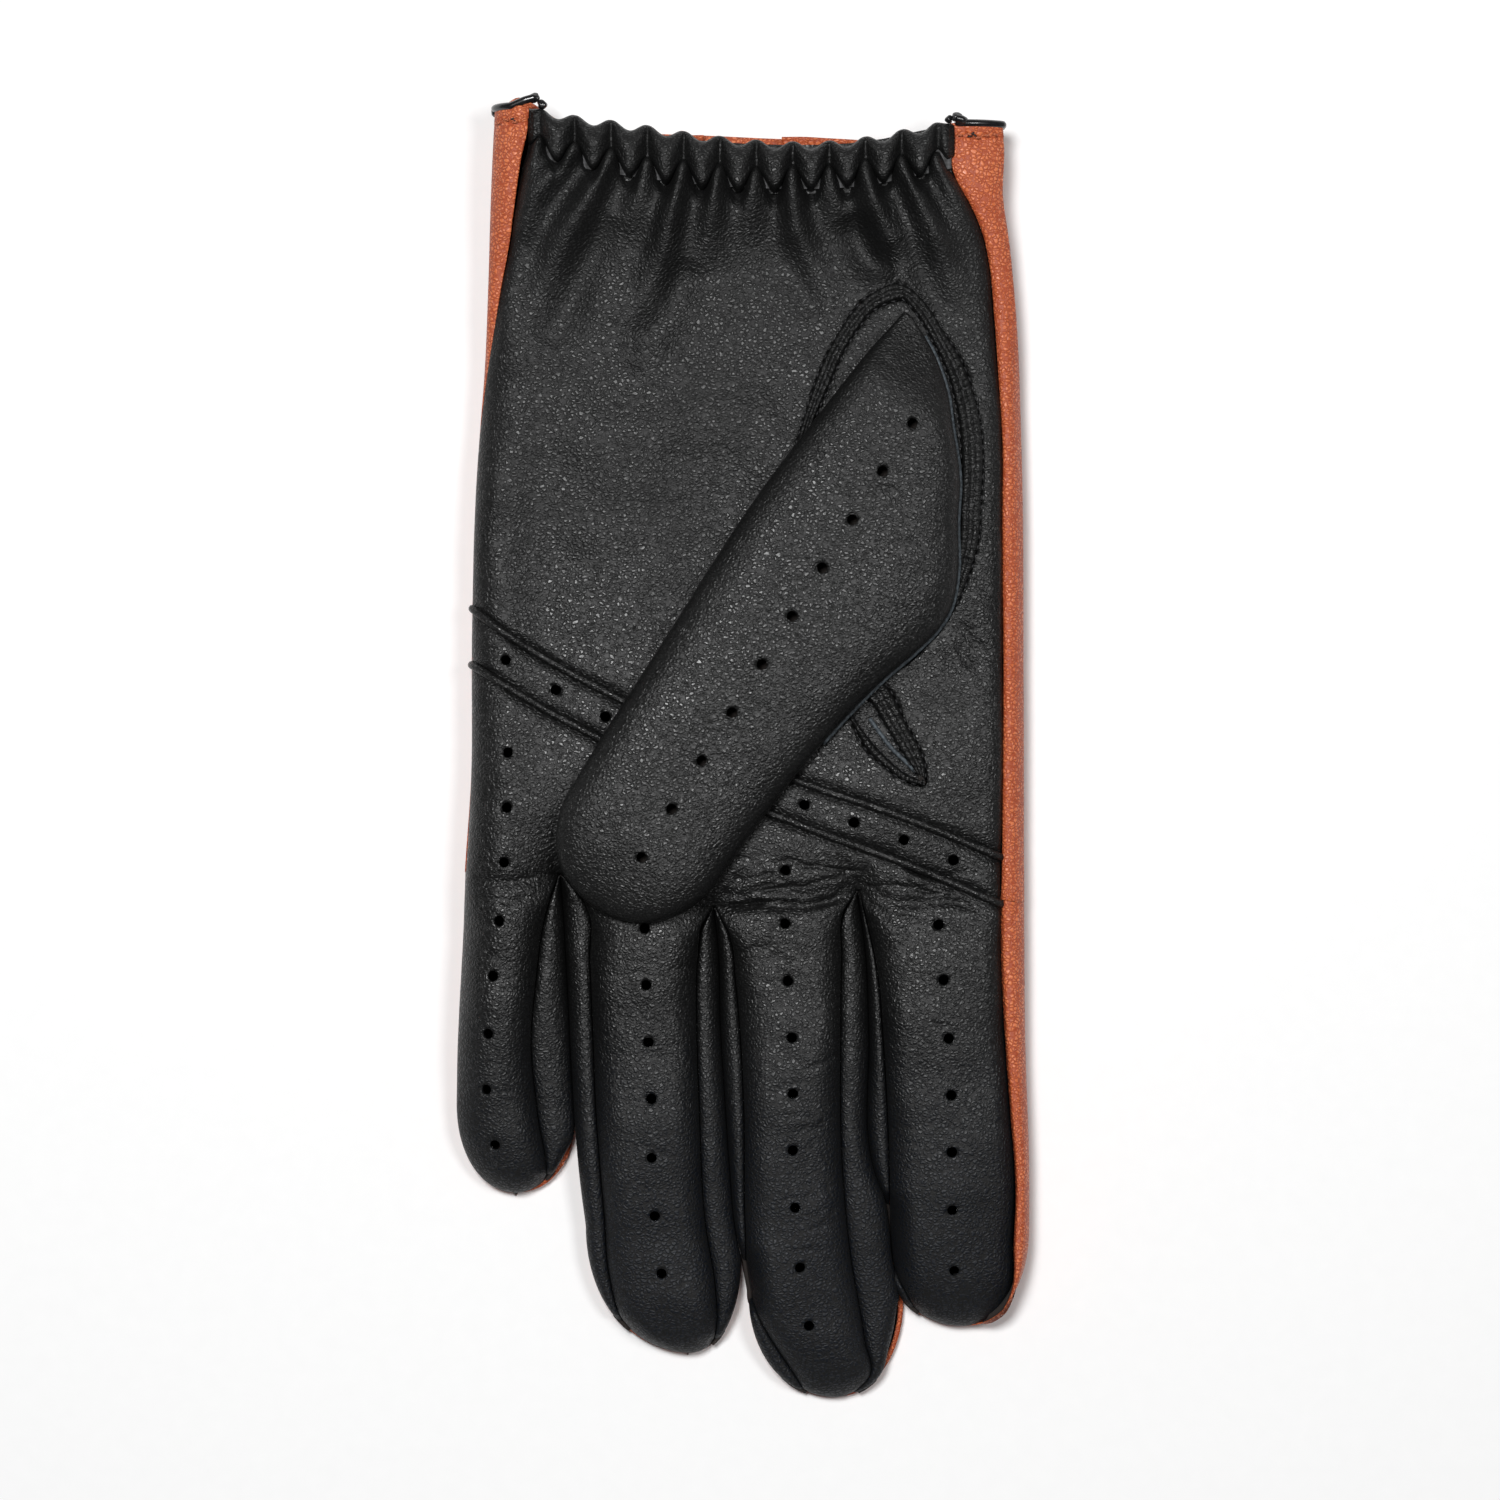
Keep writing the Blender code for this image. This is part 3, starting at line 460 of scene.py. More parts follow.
def rawEdge():  # the cut edge of the dyed leather
    made = Recipe("rawEdge")
    fibre = made.noise(made.scaled(1800, 1800, 1800), 1.0, 3.0)
    colour = made.blend(fibre.between(0.35, 0.7), (0.018, 0.024, 0.030, 1), (0.075, 0.092, 0.105, 1))
    bump = made.node("Bump", {"Strength": 0.5, "Distance": 0.00008, "Height": fibre})
    return made.finish(Base_Color=colour, Roughness=0.75 - fibre * 0.15, Normal=bump)


def wovenElastic():
    made = Recipe("wovenElastic")
    across, along = made.scaled(260, 260, 260), made.scaled(420, 420, 420)
    ribs = made.node("TexWave", {"Vector": across, "Scale": 1.0, "Distortion": 0.4}, output=1)
    weft = made.node("TexWave", {"Vector": along, "Scale": 1.0}, output=1, bands_direction="Y")
    height = ribs * 0.7 + weft * 0.3
    bump = made.node("Bump", {"Strength": 0.8, "Distance": 0.0002, "Height": height})
    return made.finish(Base_Color=made.blend(height, (0.02, 0.02, 0.02, 1), (0.075, 0.075, 0.078, 1)),
                       Roughness=0.85 - height * 0.1, Normal=bump)


def gunmetal():
    made = Recipe("gunmetal")
    brushed = made.noise(made.scaled(3000, 500, 3000), 1.0, 3.0)
    worn = made.noise(made.place, 700.0, 3.0).between(0.55, 0.75)
    colour = made.blend(worn, (0.30, 0.28, 0.26, 1), (0.48, 0.46, 0.43, 1))
    bump = made.node("Bump", {"Strength": 0.3, "Distance": 0.00003, "Height": brushed})
    rough = brushed.between(0.2, 0.9, 0.22, 0.42)
    return made.finish(Base_Color=colour, Metallic=1.0, Roughness=rough, Normal=bump)


finishes = {
    "black_leather": blackLeather(),
    "tan_leather": tanLeather(),
    "black_piping": pipingLeather(),
    "elastic": wovenElastic(),
    "stud_metal": gunmetal(),
    "flesh": shadedFleshSide(),
    "edge": rawEdge(),
    "thread": thread("blackThread", (0.004, 0.004, 0.005, 1), (0.022, 0.022, 0.024, 1)),
    "tan_thread": thread("tanThread", (0.30, 0.07, 0.03, 1), (0.55, 0.16, 0.07, 1)),
}
print("finishes ready:", ", ".join(finishes))


# pieces

def gridSheet(lineAt, columns, rows, facing=(0, 0, 1)):
    # a grid whose row at v lies along the line lineAt(v) gives
    build = bmesh.new()
    bmesh.ops.create_grid(build, x_segments=columns, y_segments=rows, size=0.5)
    lines = [evenly(lineAt(j / rows), columns + 1) for j in range(rows + 1)]
    for vert in build.verts:
        vert.co = lines[round((vert.co.y + 0.5) * rows)][round((vert.co.x + 0.5) * columns)]
    build.normal_update()
    outward = sum((face.normal * face.calc_area() for face in build.faces), Vector())
    if outward.dot(Vector(facing)) < 0:
        bmesh.ops.reverse_faces(build, faces=build.faces)
    return build


def press(build, relief):  # raise or press the sheet by a relief given over x and y
    places = np.array([vert.co for vert in build.verts])
    lifts = relief(places[:, 0], places[:, 1])
    for vert, lift in zip(build.verts, lifts):
        vert.co.z += lift


def punch(build, centres, radius):  # real round holes
    for cx, cy in centres:
        centre = Vector((cx, cy))
        inside = [f for f in build.faces if (f.calc_center_median().xy - centre).length < radius * 0.98]
        bmesh.ops.delete(build, geom=inside, context="FACES")
        for vert in build.verts:
            away = vert.co.xy - centre
            if away.length < radius * 1.75 and vert.is_boundary:
                vert.co.xy = centre + away.normalized() * radius


def insideOutline(x, y, outline):  # for arrays of points
    inside = np.zeros(x.shape, bool)
    for (x0, y0), (x1, y1) in zip(outline, outline[1:] + outline[:1]):
        if y0 != y1:
            inside ^= ((y0 > y) != (y1 > y)) & (x < (x1 - x0) * (y - y0) / (y1 - y0) + x0)
    return inside


def nearestOnOutline(x, y, outline):
    ends = np.array(outline, float)
    run = np.roll(ends, -1, axis=0) - ends
    square = np.maximum((run**2).sum(1), 1e-9)
    t = np.clip(((x - ends[:, 0]) * run[:, 0] + (y - ends[:, 1]) * run[:, 1]) / square, 0, 1)
    near = ends + t[:, None] * run
    away = np.hypot(near[:, 0] - x, near[:, 1] - y)
    best = away.argmin()
    return away[best], near[best, 0], near[best, 1]


def cutShape(build, outline, reach=1.0, below=99.0, keepInside=False):
    # a shaped opening, its edge drawn onto the outline
    build.faces.ensure_lookup_table()
    middles = np.array([face.calc_center_median() for face in build.faces])
    inside = insideOutline(middles[:, 0], middles[:, 1], outline)
    chosen = (inside != keepInside) & (middles[:, 2] < below)
    bmesh.ops.delete(build, geom=[build.faces[i] for i in np.flatnonzero(chosen)], context="FACES")
    for vert in build.verts:
        if vert.is_boundary and vert.co.z < below:
            away, px, py = nearestOnOutline(vert.co.x, vert.co.y, outline)
            if away < reach:
                vert.co.x, vert.co.y = px, py


def piece(name, build, finish, body=None, bends=None, instead=(), wall=None):
    mesh = bpy.data.meshes.new(name)
    bmesh.ops.scale(build, vec=(mm, mm, mm), verts=build.verts)
    build.to_mesh(mesh)
    build.free()
    mesh.shade_smooth()
    mesh.materials.append(finishes[finish])
    made = bpy.data.objects.new(name, mesh)
    bpy.context.scene.collection.objects.link(made)
    if wall:
        solid = made.modifiers.new("wall", "SOLIDIFY")
        solid.thickness, solid.offset = wall * mm, -1
        # inner faces get the flesh side, whose dark colour is partly painted shade
        solid.material_offset = 1
        mesh.materials.append(finishes["flesh"])
    if bends:
        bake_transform(made)
    else:
        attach(made, body)
    if instead:
        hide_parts(*instead)
    return made


def tube(name, route, radius, finish, body=None, bends=None, instead=(), sides=3):
    curve = bpy.data.curves.new(name, "CURVE")
    curve.dimensions = "3D"
    curve.bevel_depth, curve.bevel_resolution, curve.use_fill_caps = radius * mm, sides, True
    spline = curve.splines.new("POLY")
    spline.points.add(len(route) - 1)
    for point, place in zip(spline.points, route):
        point.co = (*(Vector(place) * mm), 1)
    holder = bpy.data.objects.new(name, curve)
    mesh = bpy.data.meshes.new_from_object(holder)
    bpy.data.objects.remove(holder)
    build = bmesh.new()
    build.from_mesh(mesh)
    bmesh.ops.remove_doubles(build, verts=build.verts, dist=1e-7)
    bmesh.ops.scale(build, vec=(1 / mm, 1 / mm, 1 / mm), verts=build.verts)
    bpy.data.meshes.remove(mesh)
    return piece(name, build, finish, body, bends, instead)


def alongLine(line, spacing):  # (place, direction) at even steps along a line
    length = np.linalg.norm(np.diff(line, axis=0), axis=1).sum()
    stops = evenly(line, max(3, round(length / spacing) + 1))
    return [(a, b - a) for a, b in zip(stops, stops[1:])]


def stitches(name, marks, size, finish, body=None, bends=None):  # marks are (place, direction) of each stitch
    build = bmesh.new()
    for place, direction in marks:
        turn = Vector(direction).to_track_quat("X", "Z").to_matrix().to_4x4()
        shape = Matrix.Translation(Vector(place)) @ turn @ Matrix.Diagonal((*size, 1))
        bmesh.ops.create_icosphere(build, subdivisions=1, radius=0.5, matrix=shape)
    return piece(name, build, finish, body, bends)


def cells(length):
    return max(2, round(length / glove["cell"]))


# the palm side

def palmSection(u, y):
    left, right, top = handLeft(y), palmRight(y), frontLevel(y)
    half, edge = (top - backLevel(y)) / 2, glove["edgeRound"]
    inset = np.clip(leftInset(y), 0, None)
    start = np.arccos(1 - inset / edge)
    turn = mix(start, math.pi / 2, np.clip(u / 0.2, 0, 1))
    arcX, arcZ = left + edge * (1 - np.cos(turn)), top - half * (1 - np.sin(turn))
    flatX = mix(left + edge, right, np.clip((u - 0.2) / 0.8, 0, 1))
    x, z = np.where(u < 0.2, arcX, flatX), np.where(u < 0.2, arcZ, top)
    seam = 0.9 * np.exp(-((x - left - inset) / 1.1) ** 2) * ease(inset / 2)
    return x, z - shoulder(right - x, *glove["indexSeam"]) - seam


def palmRow(low, high):
    u = np.concatenate([np.linspace(0, 0.2, 40), np.linspace(0.205, 1, 220)])

    def lineAt(v):
        y = np.zeros_like(u)
        for _ in range(5):  # x and y depend on each other, and settle in a few rounds
            x, z = palmSection(u, y)
            y = mix(low(x), high(x), v)
        return np.column_stack([x, y, z - crotchDip(x, y)])

    return lineAt


thumbHole = {  # the lines round the hole in the palm, and of the slit below it
    "archOuter": [(8.2, 50.0), (11.0, 59.9), (14.4, 69.7), (17.6, 75.7), (20.0, 79.1), (23.4, 82.1),
                  (27.6, 83.6), (29.8, 82.9),
                  (32.3, 80.8), (36.2, 74.9), (39.6, 69.3), (41.7, 63.4), (42.8, 58.2), (43.2, 53.1),
                  (42.9, 45.0),
                  (42.1, 36.0), (40.4, 30.5), (38.6, 26.4), (36.4, 23.4)],
    "archInner": [(10.4, 50.0), (12.9, 59.1), (15.8, 65.6), (17.9, 70.6), (20.8, 75.4), (23.4, 78.6),
                  (26.8, 80.2), (28.9, 80.5),
                  (30.5, 78.8), (34.0, 73.1), (36.4, 67.9), (38.1, 61.6), (38.9, 55.7), (39.1, 52.0),
                  (38.9, 45.0),
                  (38.4, 36.0), (37.2, 31.0), (35.8, 27.5), (34.0, 25.0)],
    "leafRightOuter": [(24.6, 13.2), (26.6, 10.6), (29.6, 4.4), (31.7, 0.5), (32.8, -3.3), (32.6, -6.4)],
    "leafRightInner": [(20.6, 10.6), (22.8, 8.3), (25.0, 4.9), (27.1, 1.5), (29.6, -2.2), (31.9, -5.2)],
    "leafLeftOuter": [(17.2, 8.0), (19.4, 4.9), (22.5, -0.6), (25.6, -3.2), (28.7, -5.5), (32.4, -6.5)],
    "leafLeftInner": [(19.6, 7.0), (21.3, 4.0), (24.0, 0.7), (26.2, -1.6), (28.9, -3.9), (31.7, -5.4)],
    "lip": [(22.8, 5.6, 12.0), (24.7, 2.9, 12.6), (26.8, 0.2, 12.8), (29.0, -1.9, 12.7), (31.0, -3.9, 12.4)],
    "pitch": 1.8,  # of its stitches
}
thumbHole["outline"] = [*thumbHole["archOuter"], (29.5, 15.5), *thumbHole["leafRightOuter"],
                        *reversed(thumbHole["leafLeftOuter"]), (13.0, 18.0), (8.0, 34.0)]


def stripHoles():
    places = [palm["firstHole"] + palm["holePitch"] * i for i in range(palm["holes"])]
    return [(x, float((upperWelt(x) + lowerWelt(x)) / 2)) for x in places]


palm = {"gap": 0.25, "weltRadius": 0.72, "weltLift": 0.75, "holes": 10, "firstHole": -42.5, "holePitch": 8.92}
stallHoles = {
    "little": [(-42.1, -0.4), (-42.3, -10.3), (-42.8, -20.2), (-43.7, -30.6), (-44.8, -40.5),
               (-45.7, -50.9), (-46.1, -61.0), (-44.6, -71.1)],
    "ring": [(-17.8, -21.6), (-17.6, -31.9), (-17.3, -42.1), (-16.9, -52.4), (-16.4, -62.5), (-16.3, -73.1),
             (-15.8, -83.7), (-14.6, -94.1)],
    "middle": [(7.6, -21.6), (7.6, -31.1), (8.1, -41.4), (8.8, -51.5), (9.0, -61.6), (9.0, -71.8),
               (9.4, -82.1), (10.3, -92.9), (11.9, -103.5)],
    "index": [(35.1, -31.3), (36.0, -41.2), (36.9, -51.7), (37.4, -61.9), (37.5, -72.1), (37.6, -82.6),
              (38.0, -93.6)],
}
holeRadius = 0.95


def weltEdge(welt, shift):
    return lambda x: welt(x) + shift


def makePalm():
    gap = palm["gap"]
    heel = gridSheet(palmRow(weltEdge(upperWelt, gap), weltEdge(zigzag, 1.4)), cells(96), cells(110))
    press(heel, palmRelief)
    hole = throughPoints([*thumbHole["outline"], thumbHole["outline"][0]], 260)
    cutShape(heel, [tuple(point) for point in hole[:-1]])
    piece("palmHeel", heel, "black_leather", "hand", instead=["palm_heel"], wall=glove["wall"])

    strip = gridSheet(palmRow(weltEdge(lowerWelt, gap), weltEdge(upperWelt, -gap)), cells(96), cells(8))
    press(strip, palmRelief)
    punch(strip, stripHoles(), holeRadius)
    piece("palmStrip", strip, "black_leather", "hand", instead=["palm_strip"], wall=glove["wall"])

    base = gridSheet(palmRow(rootLine, weltEdge(lowerWelt, -gap)), cells(96), cells(30))
    press(base, palmRelief)
    rooted = [hole for holes in stallHoles.values() for hole in holes if hole[1] > rootLine(hole[0]) + 1.5]
    punch(base, rooted, holeRadius)
    piece("palmBase", base, "black_leather", "hand", instead=["palm_base"], wall=glove["wall"])

    for name, welt in (("upper_welt", upperWelt), ("lower_welt", lowerWelt)):
        line = evenly(palmRow(welt, welt)(0), 150)
        height = line[:, 2] + palmRelief(line[:, 0], line[:, 1]) + palm["weltLift"]
        route = np.column_stack([line[:, 0], line[:, 1], height])
        tube(name.replace("_w", "W"), route, palm["weltRadius"], "black_leather", "hand", instead=[name])
    print("palm done")


makePalm()


# the stalls

stallLook = {
    "seamDrop": 3.1, "shoulder": 4.6, "groove": 0.5, "crown": 1.5, "fall": 3.2,
    "backSeam": 2.0,  # height of the back's edge
    "capHeight": 14.0, "roundEnd": 15.0, "capRows": 0.26, "tipPower": 2.1,
}


def silhouette(points, cap, tip):
    base, power = lineThrough(points), stallLook["tipPower"]

    def at(y):
        t = np.clip((cap - y) / (cap - tip[1]), 0, 1)
        return tip[0] + (base(np.maximum(y, cap)) - tip[0]) * (1 - t**power) ** (1 / power)

    return at


def stall(tip, leftCap, rightCap, left, right, seamLeft, seamRight, root, sliver=None):
    return {
        "tip": tip, "root": root, "sliver": sliver,
        "left": silhouette(left, leftCap, tip), "right": silhouette(right, rightCap, tip),
        "seamLeft": seamLeft and lineThrough(seamLeft), "seamRight": seamRight and lineThrough(seamRight),
        "crotchLeft": left[0][0], "crotchRight": right[0][0],
    }


stalls = {
    "little": stall((-41.0, -80.3), -64, -67,
                    [(-22, -50.1), (-30, -50.4), (-55, -51.6), (-64, -51.8)],
                    [(-22.5, -32.9), (-33, -32.2), (-46, -31.5), (-58, -30.9), (-67, -30.4)],
                    None,
                    [(-22.5, -33.1), (-26.3, -34.6), (-30.8, -35.8), (-41.6, -37.3), (-52.6, -38.2),
                     (-65.7, -37.1),
                     (-77.4, -35.6), (-80.3, -36.0)],
                    root=-26.0, sliver=(-76.0, 6.0, 0.9)),
    "ring": stall((-9.5, -109.3), -86, -92,
                  [(-22.5, -32.9), (-33, -32.2), (-46, -31.5), (-58, -30.9), (-71, -30.1), (-80, -29.2),
                   (-86, -28.4)],
                  [(-28.3, -5.2), (-36, -4.4), (-50, -4.0), (-63, -3.2), (-76, -2.3), (-86, -1.4),
                   (-92, -0.3)],
                  [(-22.5, -32.7), (-25.5, -29.6), (-29, -27.8), (-37.3, -27.5), (-50.4, -27.0),
                   (-63.4, -26.5), (-83, -25.0),
                   (-96, -23.9), (-102, -22.3), (-109.3, -18.0)],
                  [(-28.3, -5.3), (-30.8, -7.0), (-37.3, -8.1), (-50.4, -8.3), (-63.4, -7.9), (-86, -6.7),
                   (-97, -5.0),
                   (-104, -4.8), (-109.3, -6.0)],
                  root=-32.6),
    "middle": stall((16.6, -117.4), -98, -99,
                    [(-28.3, -5.2), (-36, -4.4), (-50, -4.0), (-63, -3.2), (-76, -2.3), (-86, -1.4),
                     (-93.6, 0.2), (-98, 1.0)],
                    [(-25.4, 20.7), (-38, 22.3), (-50.4, 22.8), (-77, 24.1), (-81, 25.6), (-86, 26.4),
                     (-93, 27.2), (-97, 28.3), (-99, 29.3)],
                    [(-28.3, -5.0), (-32.9, -2.5), (-41.6, -1.3), (-50.4, -0.5), (-63.4, 0.2), (-86, 0.5),
                     (-98, 1.4),
                     (-117.4, 12.0)],
                    [(-25.4, 20.5), (-28.4, 18.4), (-37.3, 17.8), (-50.4, 17.6), (-76.5, 18.0), (-90.5, 19.3),
                     (-106.6, 22.0), (-113.6, 22.7), (-117.4, 19.0)],
                    root=-32.6, sliver=(-104.5, 9.0, 1.5)),
    "index": stall((39.6, -104.4), -92, -86,
                   [(-25.4, 20.7), (-38, 22.3), (-50.4, 22.8), (-77, 24.1), (-81, 25.6), (-86, 26.3),
                    (-92, 26.5)],
                   [(-27.5, 50.9), (-53, 51.1), (-76, 51.8), (-86, 51.8)],
                   [(-25.4, 20.9), (-32.9, 22.9), (-41.6, 24.5), (-50.4, 25.2), (-67.9, 26.2), (-81, 26.6),
                    (-92, 27.0),
                    (-104.4, 33.0)],
                   None,
                   root=-32.6),
}


def blackRight(shape, y):  # the black leather's outer edge on the right, inside a sliver of the back
    edge = shape["right"](y)
    if shape["sliver"]:
        middle, half, width = shape["sliver"]
        edge = edge - width * np.exp(-((y - middle) / half * 1.3) ** 4)
    return edge


def frontEdges(shape, y):
    left, right = shape["left"](y), blackRight(shape, y)
    a = left + 0.05 if shape["seamLeft"] is None else np.maximum(shape["seamLeft"](y), left + 0.05)
    if shape["seamRight"] is None:
        b = np.minimum(palmRight(y), right - 0.25)
    else:
        b = np.minimum(shape["seamRight"](y), right - 0.05)
    middle = (a + b) / 2
    return np.minimum(a, middle - 0.02), np.maximum(b, middle + 0.02)


def capShare(shape, y):  # how much of its height the stall keeps near its tip
    start = shape["tip"][1] + stallLook["capHeight"]
    t = np.clip((start - y) / stallLook["capHeight"], 0, 1)
    return (1 - t**2.2) ** 0.5


def edgeDrop(shape, y, side):  # how far the front panel falls to its seam: more where there is no side strip
    left, right = shape["left"](y), blackRight(shape, y)
    a, b = frontEdges(shape, y)
    lobe = a - left if side < 0 else right - b
    low = glove["palmTop"] - stallLook["backSeam"]
    return mix(low, stallLook["seamDrop"], ease(lobe / 1.6))


def frontHeight(shape, x, y):
    a, b = frontEdges(shape, y)
    top, low = glove["palmTop"], stallLook["backSeam"]
    width = np.minimum(stallLook["shoulder"], (b - a) * 0.45)
    away = (x - (a + b) / 2) / np.maximum((b - a) / 2, 0.1)
    z = top + 0.4 - stallLook["crown"] * away**2 - stallLook["fall"] * ease((shape["tip"][1] + 52 - y) / 60)
    if shape["seamLeft"] is not None:
        z = z - shoulder(x - a, width, edgeDrop(shape, y, -1))
    if shape["seamRight"] is not None:
        z = z - shoulder(b - x, width, edgeDrop(shape, y, 1))
    else:
        z = z - shoulder(b - x, *glove["indexSeam"])
    return low + (z - low) * capShare(shape, y)


def palmHeight(x, y):
    left, right = handLeft(y), palmRight(y)
    edge, half = glove["edgeRound"], glove["palmTop"] / 2
    share = 1 - np.clip((x - left) / edge, 0, 1)
    z = glove["palmTop"] - half * (1 - np.sqrt(1 - share * share))
    return z - shoulder(right - x, *glove["indexSeam"]) - crotchDip(x, y)


def stallStation(shape, v):
    # where row v lies, where the stall meets the palm, and how far the row has bent to the root line
    tip, capRows = shape["tip"][1], stallLook["capRows"]
    cap = tip + stallLook["roundEnd"]
    meeting = float(rootLine((shape["left"](-28.0) + shape["right"](-28.0)) / 2))
    if v < capRows:
        station = cap - (cap - tip) * math.sin(math.radians(mix(88.5, 0, v / capRows)))
    else:
        station = mix(cap, meeting, (v - capRows) / (1 - capRows))
    return station, meeting, float(ease((station - meeting + 14) / 14))


def stallRow(shape):
    u, rolled = np.linspace(0, 1, 200), 0.35  # the share of the row that rolls round the little finger's edge

    def lineAt(v):
        station, meeting, bend = stallStation(shape, v)
        y = np.full_like(u, station)
        for _ in range(5):
            a, b = frontEdges(shape, y)
            if shape["seamLeft"] is None:  # the little finger's front goes on round its outer edge
                edge = np.minimum(glove["edgeRound"], (b - a) * 0.55)
                turn = mix(math.radians(2), math.pi / 2, np.clip(u / rolled, 0, 1))
                flat = mix(a + edge, b, np.clip((u - rolled) / (1 - rolled), 0, 1))
                x = np.where(u < rolled, a + edge * (1 - np.cos(turn)), flat)
            else:
                x = mix(a, b, u)
            y = station + (rootLine(x) - meeting) * bend + 0.3 * bend**8
        z = frontHeight(shape, x, y)
        if shape["seamLeft"] is None:
            z = np.where(u < rolled, z - z / 2 * (1 - np.sin(turn)), z)
        rooted = ease((rootLine(x) - y) / 11)
        return np.column_stack([x, y, mix(palmHeight(x, y), z, rooted)])

    return lineAt


def sideRow(shape, side):
    # the side strip between two stalls, from its end near the tip up to the crotch
    crotch = shape["crotchLeft"] if side < 0 else shape["crotchRight"]
    ys = np.linspace(shape["tip"][1] + 26, shape["tip"][1] + 1, 300)
    seams = frontEdges(shape, ys)[side > 0]
    edges = shape["left"](ys) if side < 0 else blackRight(shape, ys)
    end = float(ys[np.flatnonzero(np.abs(edges - seams) > 0.15)[-1]])

    def lineAt(v):
        y = mix(end, crotch, v)
        ys = np.array([y])
        a, b = (float(edge[0]) for edge in frontEdges(shape, ys))
        left, right = float(shape["left"](ys)[0]), float(blackRight(shape, ys)[0])
        seam, edge = (a, left) if side < 0 else (b, right)
        low = stallLook["backSeam"]
        rooted = float(ease((crotch - y) / 11))
        top = float(frontHeight(shape, np.array([seam]), ys)[0])
        top = mix(glove["palmTop"] - 4.2, top, rooted)
        lobe = abs(edge - seam)
        swell = min(lobe * 0.45, 1.3)
        share = float(capShare(shape, ys)[0])
        shin = max(top - 4.5 * share, (top + low) / 2)
        first = bezier((seam, top - stallLook["groove"]), (seam + side * 0.1 * lobe, top + swell),
                       (edge, top + swell * 0.6), (edge, shin))
        second = bezier((edge, shin), (edge, shin - 2), (edge, low + 2), (edge - side * 0.4, low))
        path = np.concatenate([first, second[1:]])
        return np.column_stack([path[:, 0], np.full(len(path), y), path[:, 1]])

    return lineAt


def backEdges(shape, y):
    tuck = mix(0.1, 0.6, ease((y - shape["tip"][1] - 14) / 8))
    leftTuck, rightTuck = tuck if shape["seamLeft"] else 0.05, tuck if shape["seamRight"] else 0.0
    return shape["left"](y) + leftTuck, shape["right"](y) - rightTuck


def rightRoll(top, bottom, seam, right, keep=1.0):
    # the back's leather from its seam with the palm, round the index edge and under
    middle = (top + bottom) / 2
    swell = 0.6 * (right - seam)
    hip = (right - 0.25 * keep, middle + 1.8 * keep)
    start, rounding = (seam, top - 2.5 * keep), (seam + 0.15, top - 1.0 * keep)
    over = bezier(start, rounding, (seam + swell, top - 0.9 * keep), hip, 20)
    below, end = (right + 0.1, bottom + 0.4 * keep), (right - 5 * keep, bottom)
    side = bezier(hip, (right + 0.12, middle + 0.4 * keep), below, end, 20)
    return np.concatenate([over, side[1:]])


def stallBackRow(shape):
    def lineAt(v):
        station, meeting, bend = stallStation(shape, v)
        ys = np.array([station])
        left, right = (float(edge[0]) for edge in backEdges(shape, ys))
        share = float(capShare(shape, ys)[0])
        rim, lip = 2.0, stallLook["backSeam"]
        if shape["seamRight"] is None:
            seam = float(frontEdges(shape, ys)[1][0])
            high = lip + (glove["palmTop"] - lip) * share
            roll = rightRoll(high, 0, seam, max(right, seam + 0.2), share)
            reach = 5 * share
        else:
            roll = bezier((right, lip - 0.1), (right, 0.6), (right - 0.6, 0), (right - rim, 0), 10)
            reach = rim
        width = right - left
        if width < 2 * reach + 1:
            roll = np.column_stack([np.clip(roll[:, 0], left + width * 0.3, None), roll[:, 1]])
        if shape["seamLeft"] is None:
            middle = sum(float(line[0]) for line in frontEdges(shape, ys)) / 2
            rise = float(frontHeight(shape, np.array([min(left + 2.5, middle)]), ys)[0]) / 2
            edge = left + min(0.4, width * 0.1)
            inner = min(left + 7, left + width * 0.5)
            end = bezier((inner, 0), (left + 2, 0), (edge, 1.5 * share), (edge, rise), 14)
        else:
            inner = min(left + rim, left + width * 0.3)
            end = bezier((inner, 0), (left + 0.6, 0), (left, 0.6), (left, lip - 0.1), 10)
        flat = np.column_stack([np.linspace(roll[-1, 0], end[0, 0], 24)[1:-1], np.zeros(22)])
        path = np.concatenate([roll, flat, end])
        y = station + (rootLine(path[:, 0]) - meeting) * bend + 1.5 * bend**6
        inset = 0.04 * bend**6  # it goes in under the back of the hand
        return np.column_stack([path[:, 0] - inset * np.sign(path[:, 0]), y, path[:, 1] + inset])

    return lineAt


def makeStalls():
    for name, shape in stalls.items():
        root = shape["root"]
        body = name + "_finger"
        bends = ("hand", body, (0, root + 4, 0), (0, root - 6, 0))
        length = -25 - shape["tip"][1]
        front = gridSheet(stallRow(shape), cells(26), cells(length * 1.15))
        press(front, palmRelief)
        punch(front, [hole for hole in stallHoles[name] if hole[1] < rootLine(hole[0]) - 1.5], holeRadius)
        cad, wall = [name + "_front"], glove["wall"]
        piece(name + "Front", front, "black_leather", bends=bends, instead=cad, wall=wall)
        back = gridSheet(stallBackRow(shape), cells(34) // 2, cells(length) // 2, facing=(0, 0, -1))
        piece(name + "Back", back, "tan_leather", bends=bends, instead=[name + "_back"], wall=glove["wall"])
        for side, seam, node in ((-1, "seamLeft", "outer"), (1, "seamRight", "inner")):
            if shape[seam] is not None:
                strip = gridSheet(sideRow(shape, side), cells(14), cells(length), facing=(side, 0, 0))
                press(strip, lambda x, y: 0.5 * palmRelief(x, y))
                cad = f"{name}_fourchette_{node}"
                title = name + "Fourchette" + node.title()
                piece(title, strip, "black_leather", bends=bends, instead=[cad], wall=0.3)
    print("stalls done")


makeStalls()


# the back of the hand

keyhole = {"x": 0.0, "y": 84.0, "half": 13.0, "neck": 7.0, "down": 18.0}


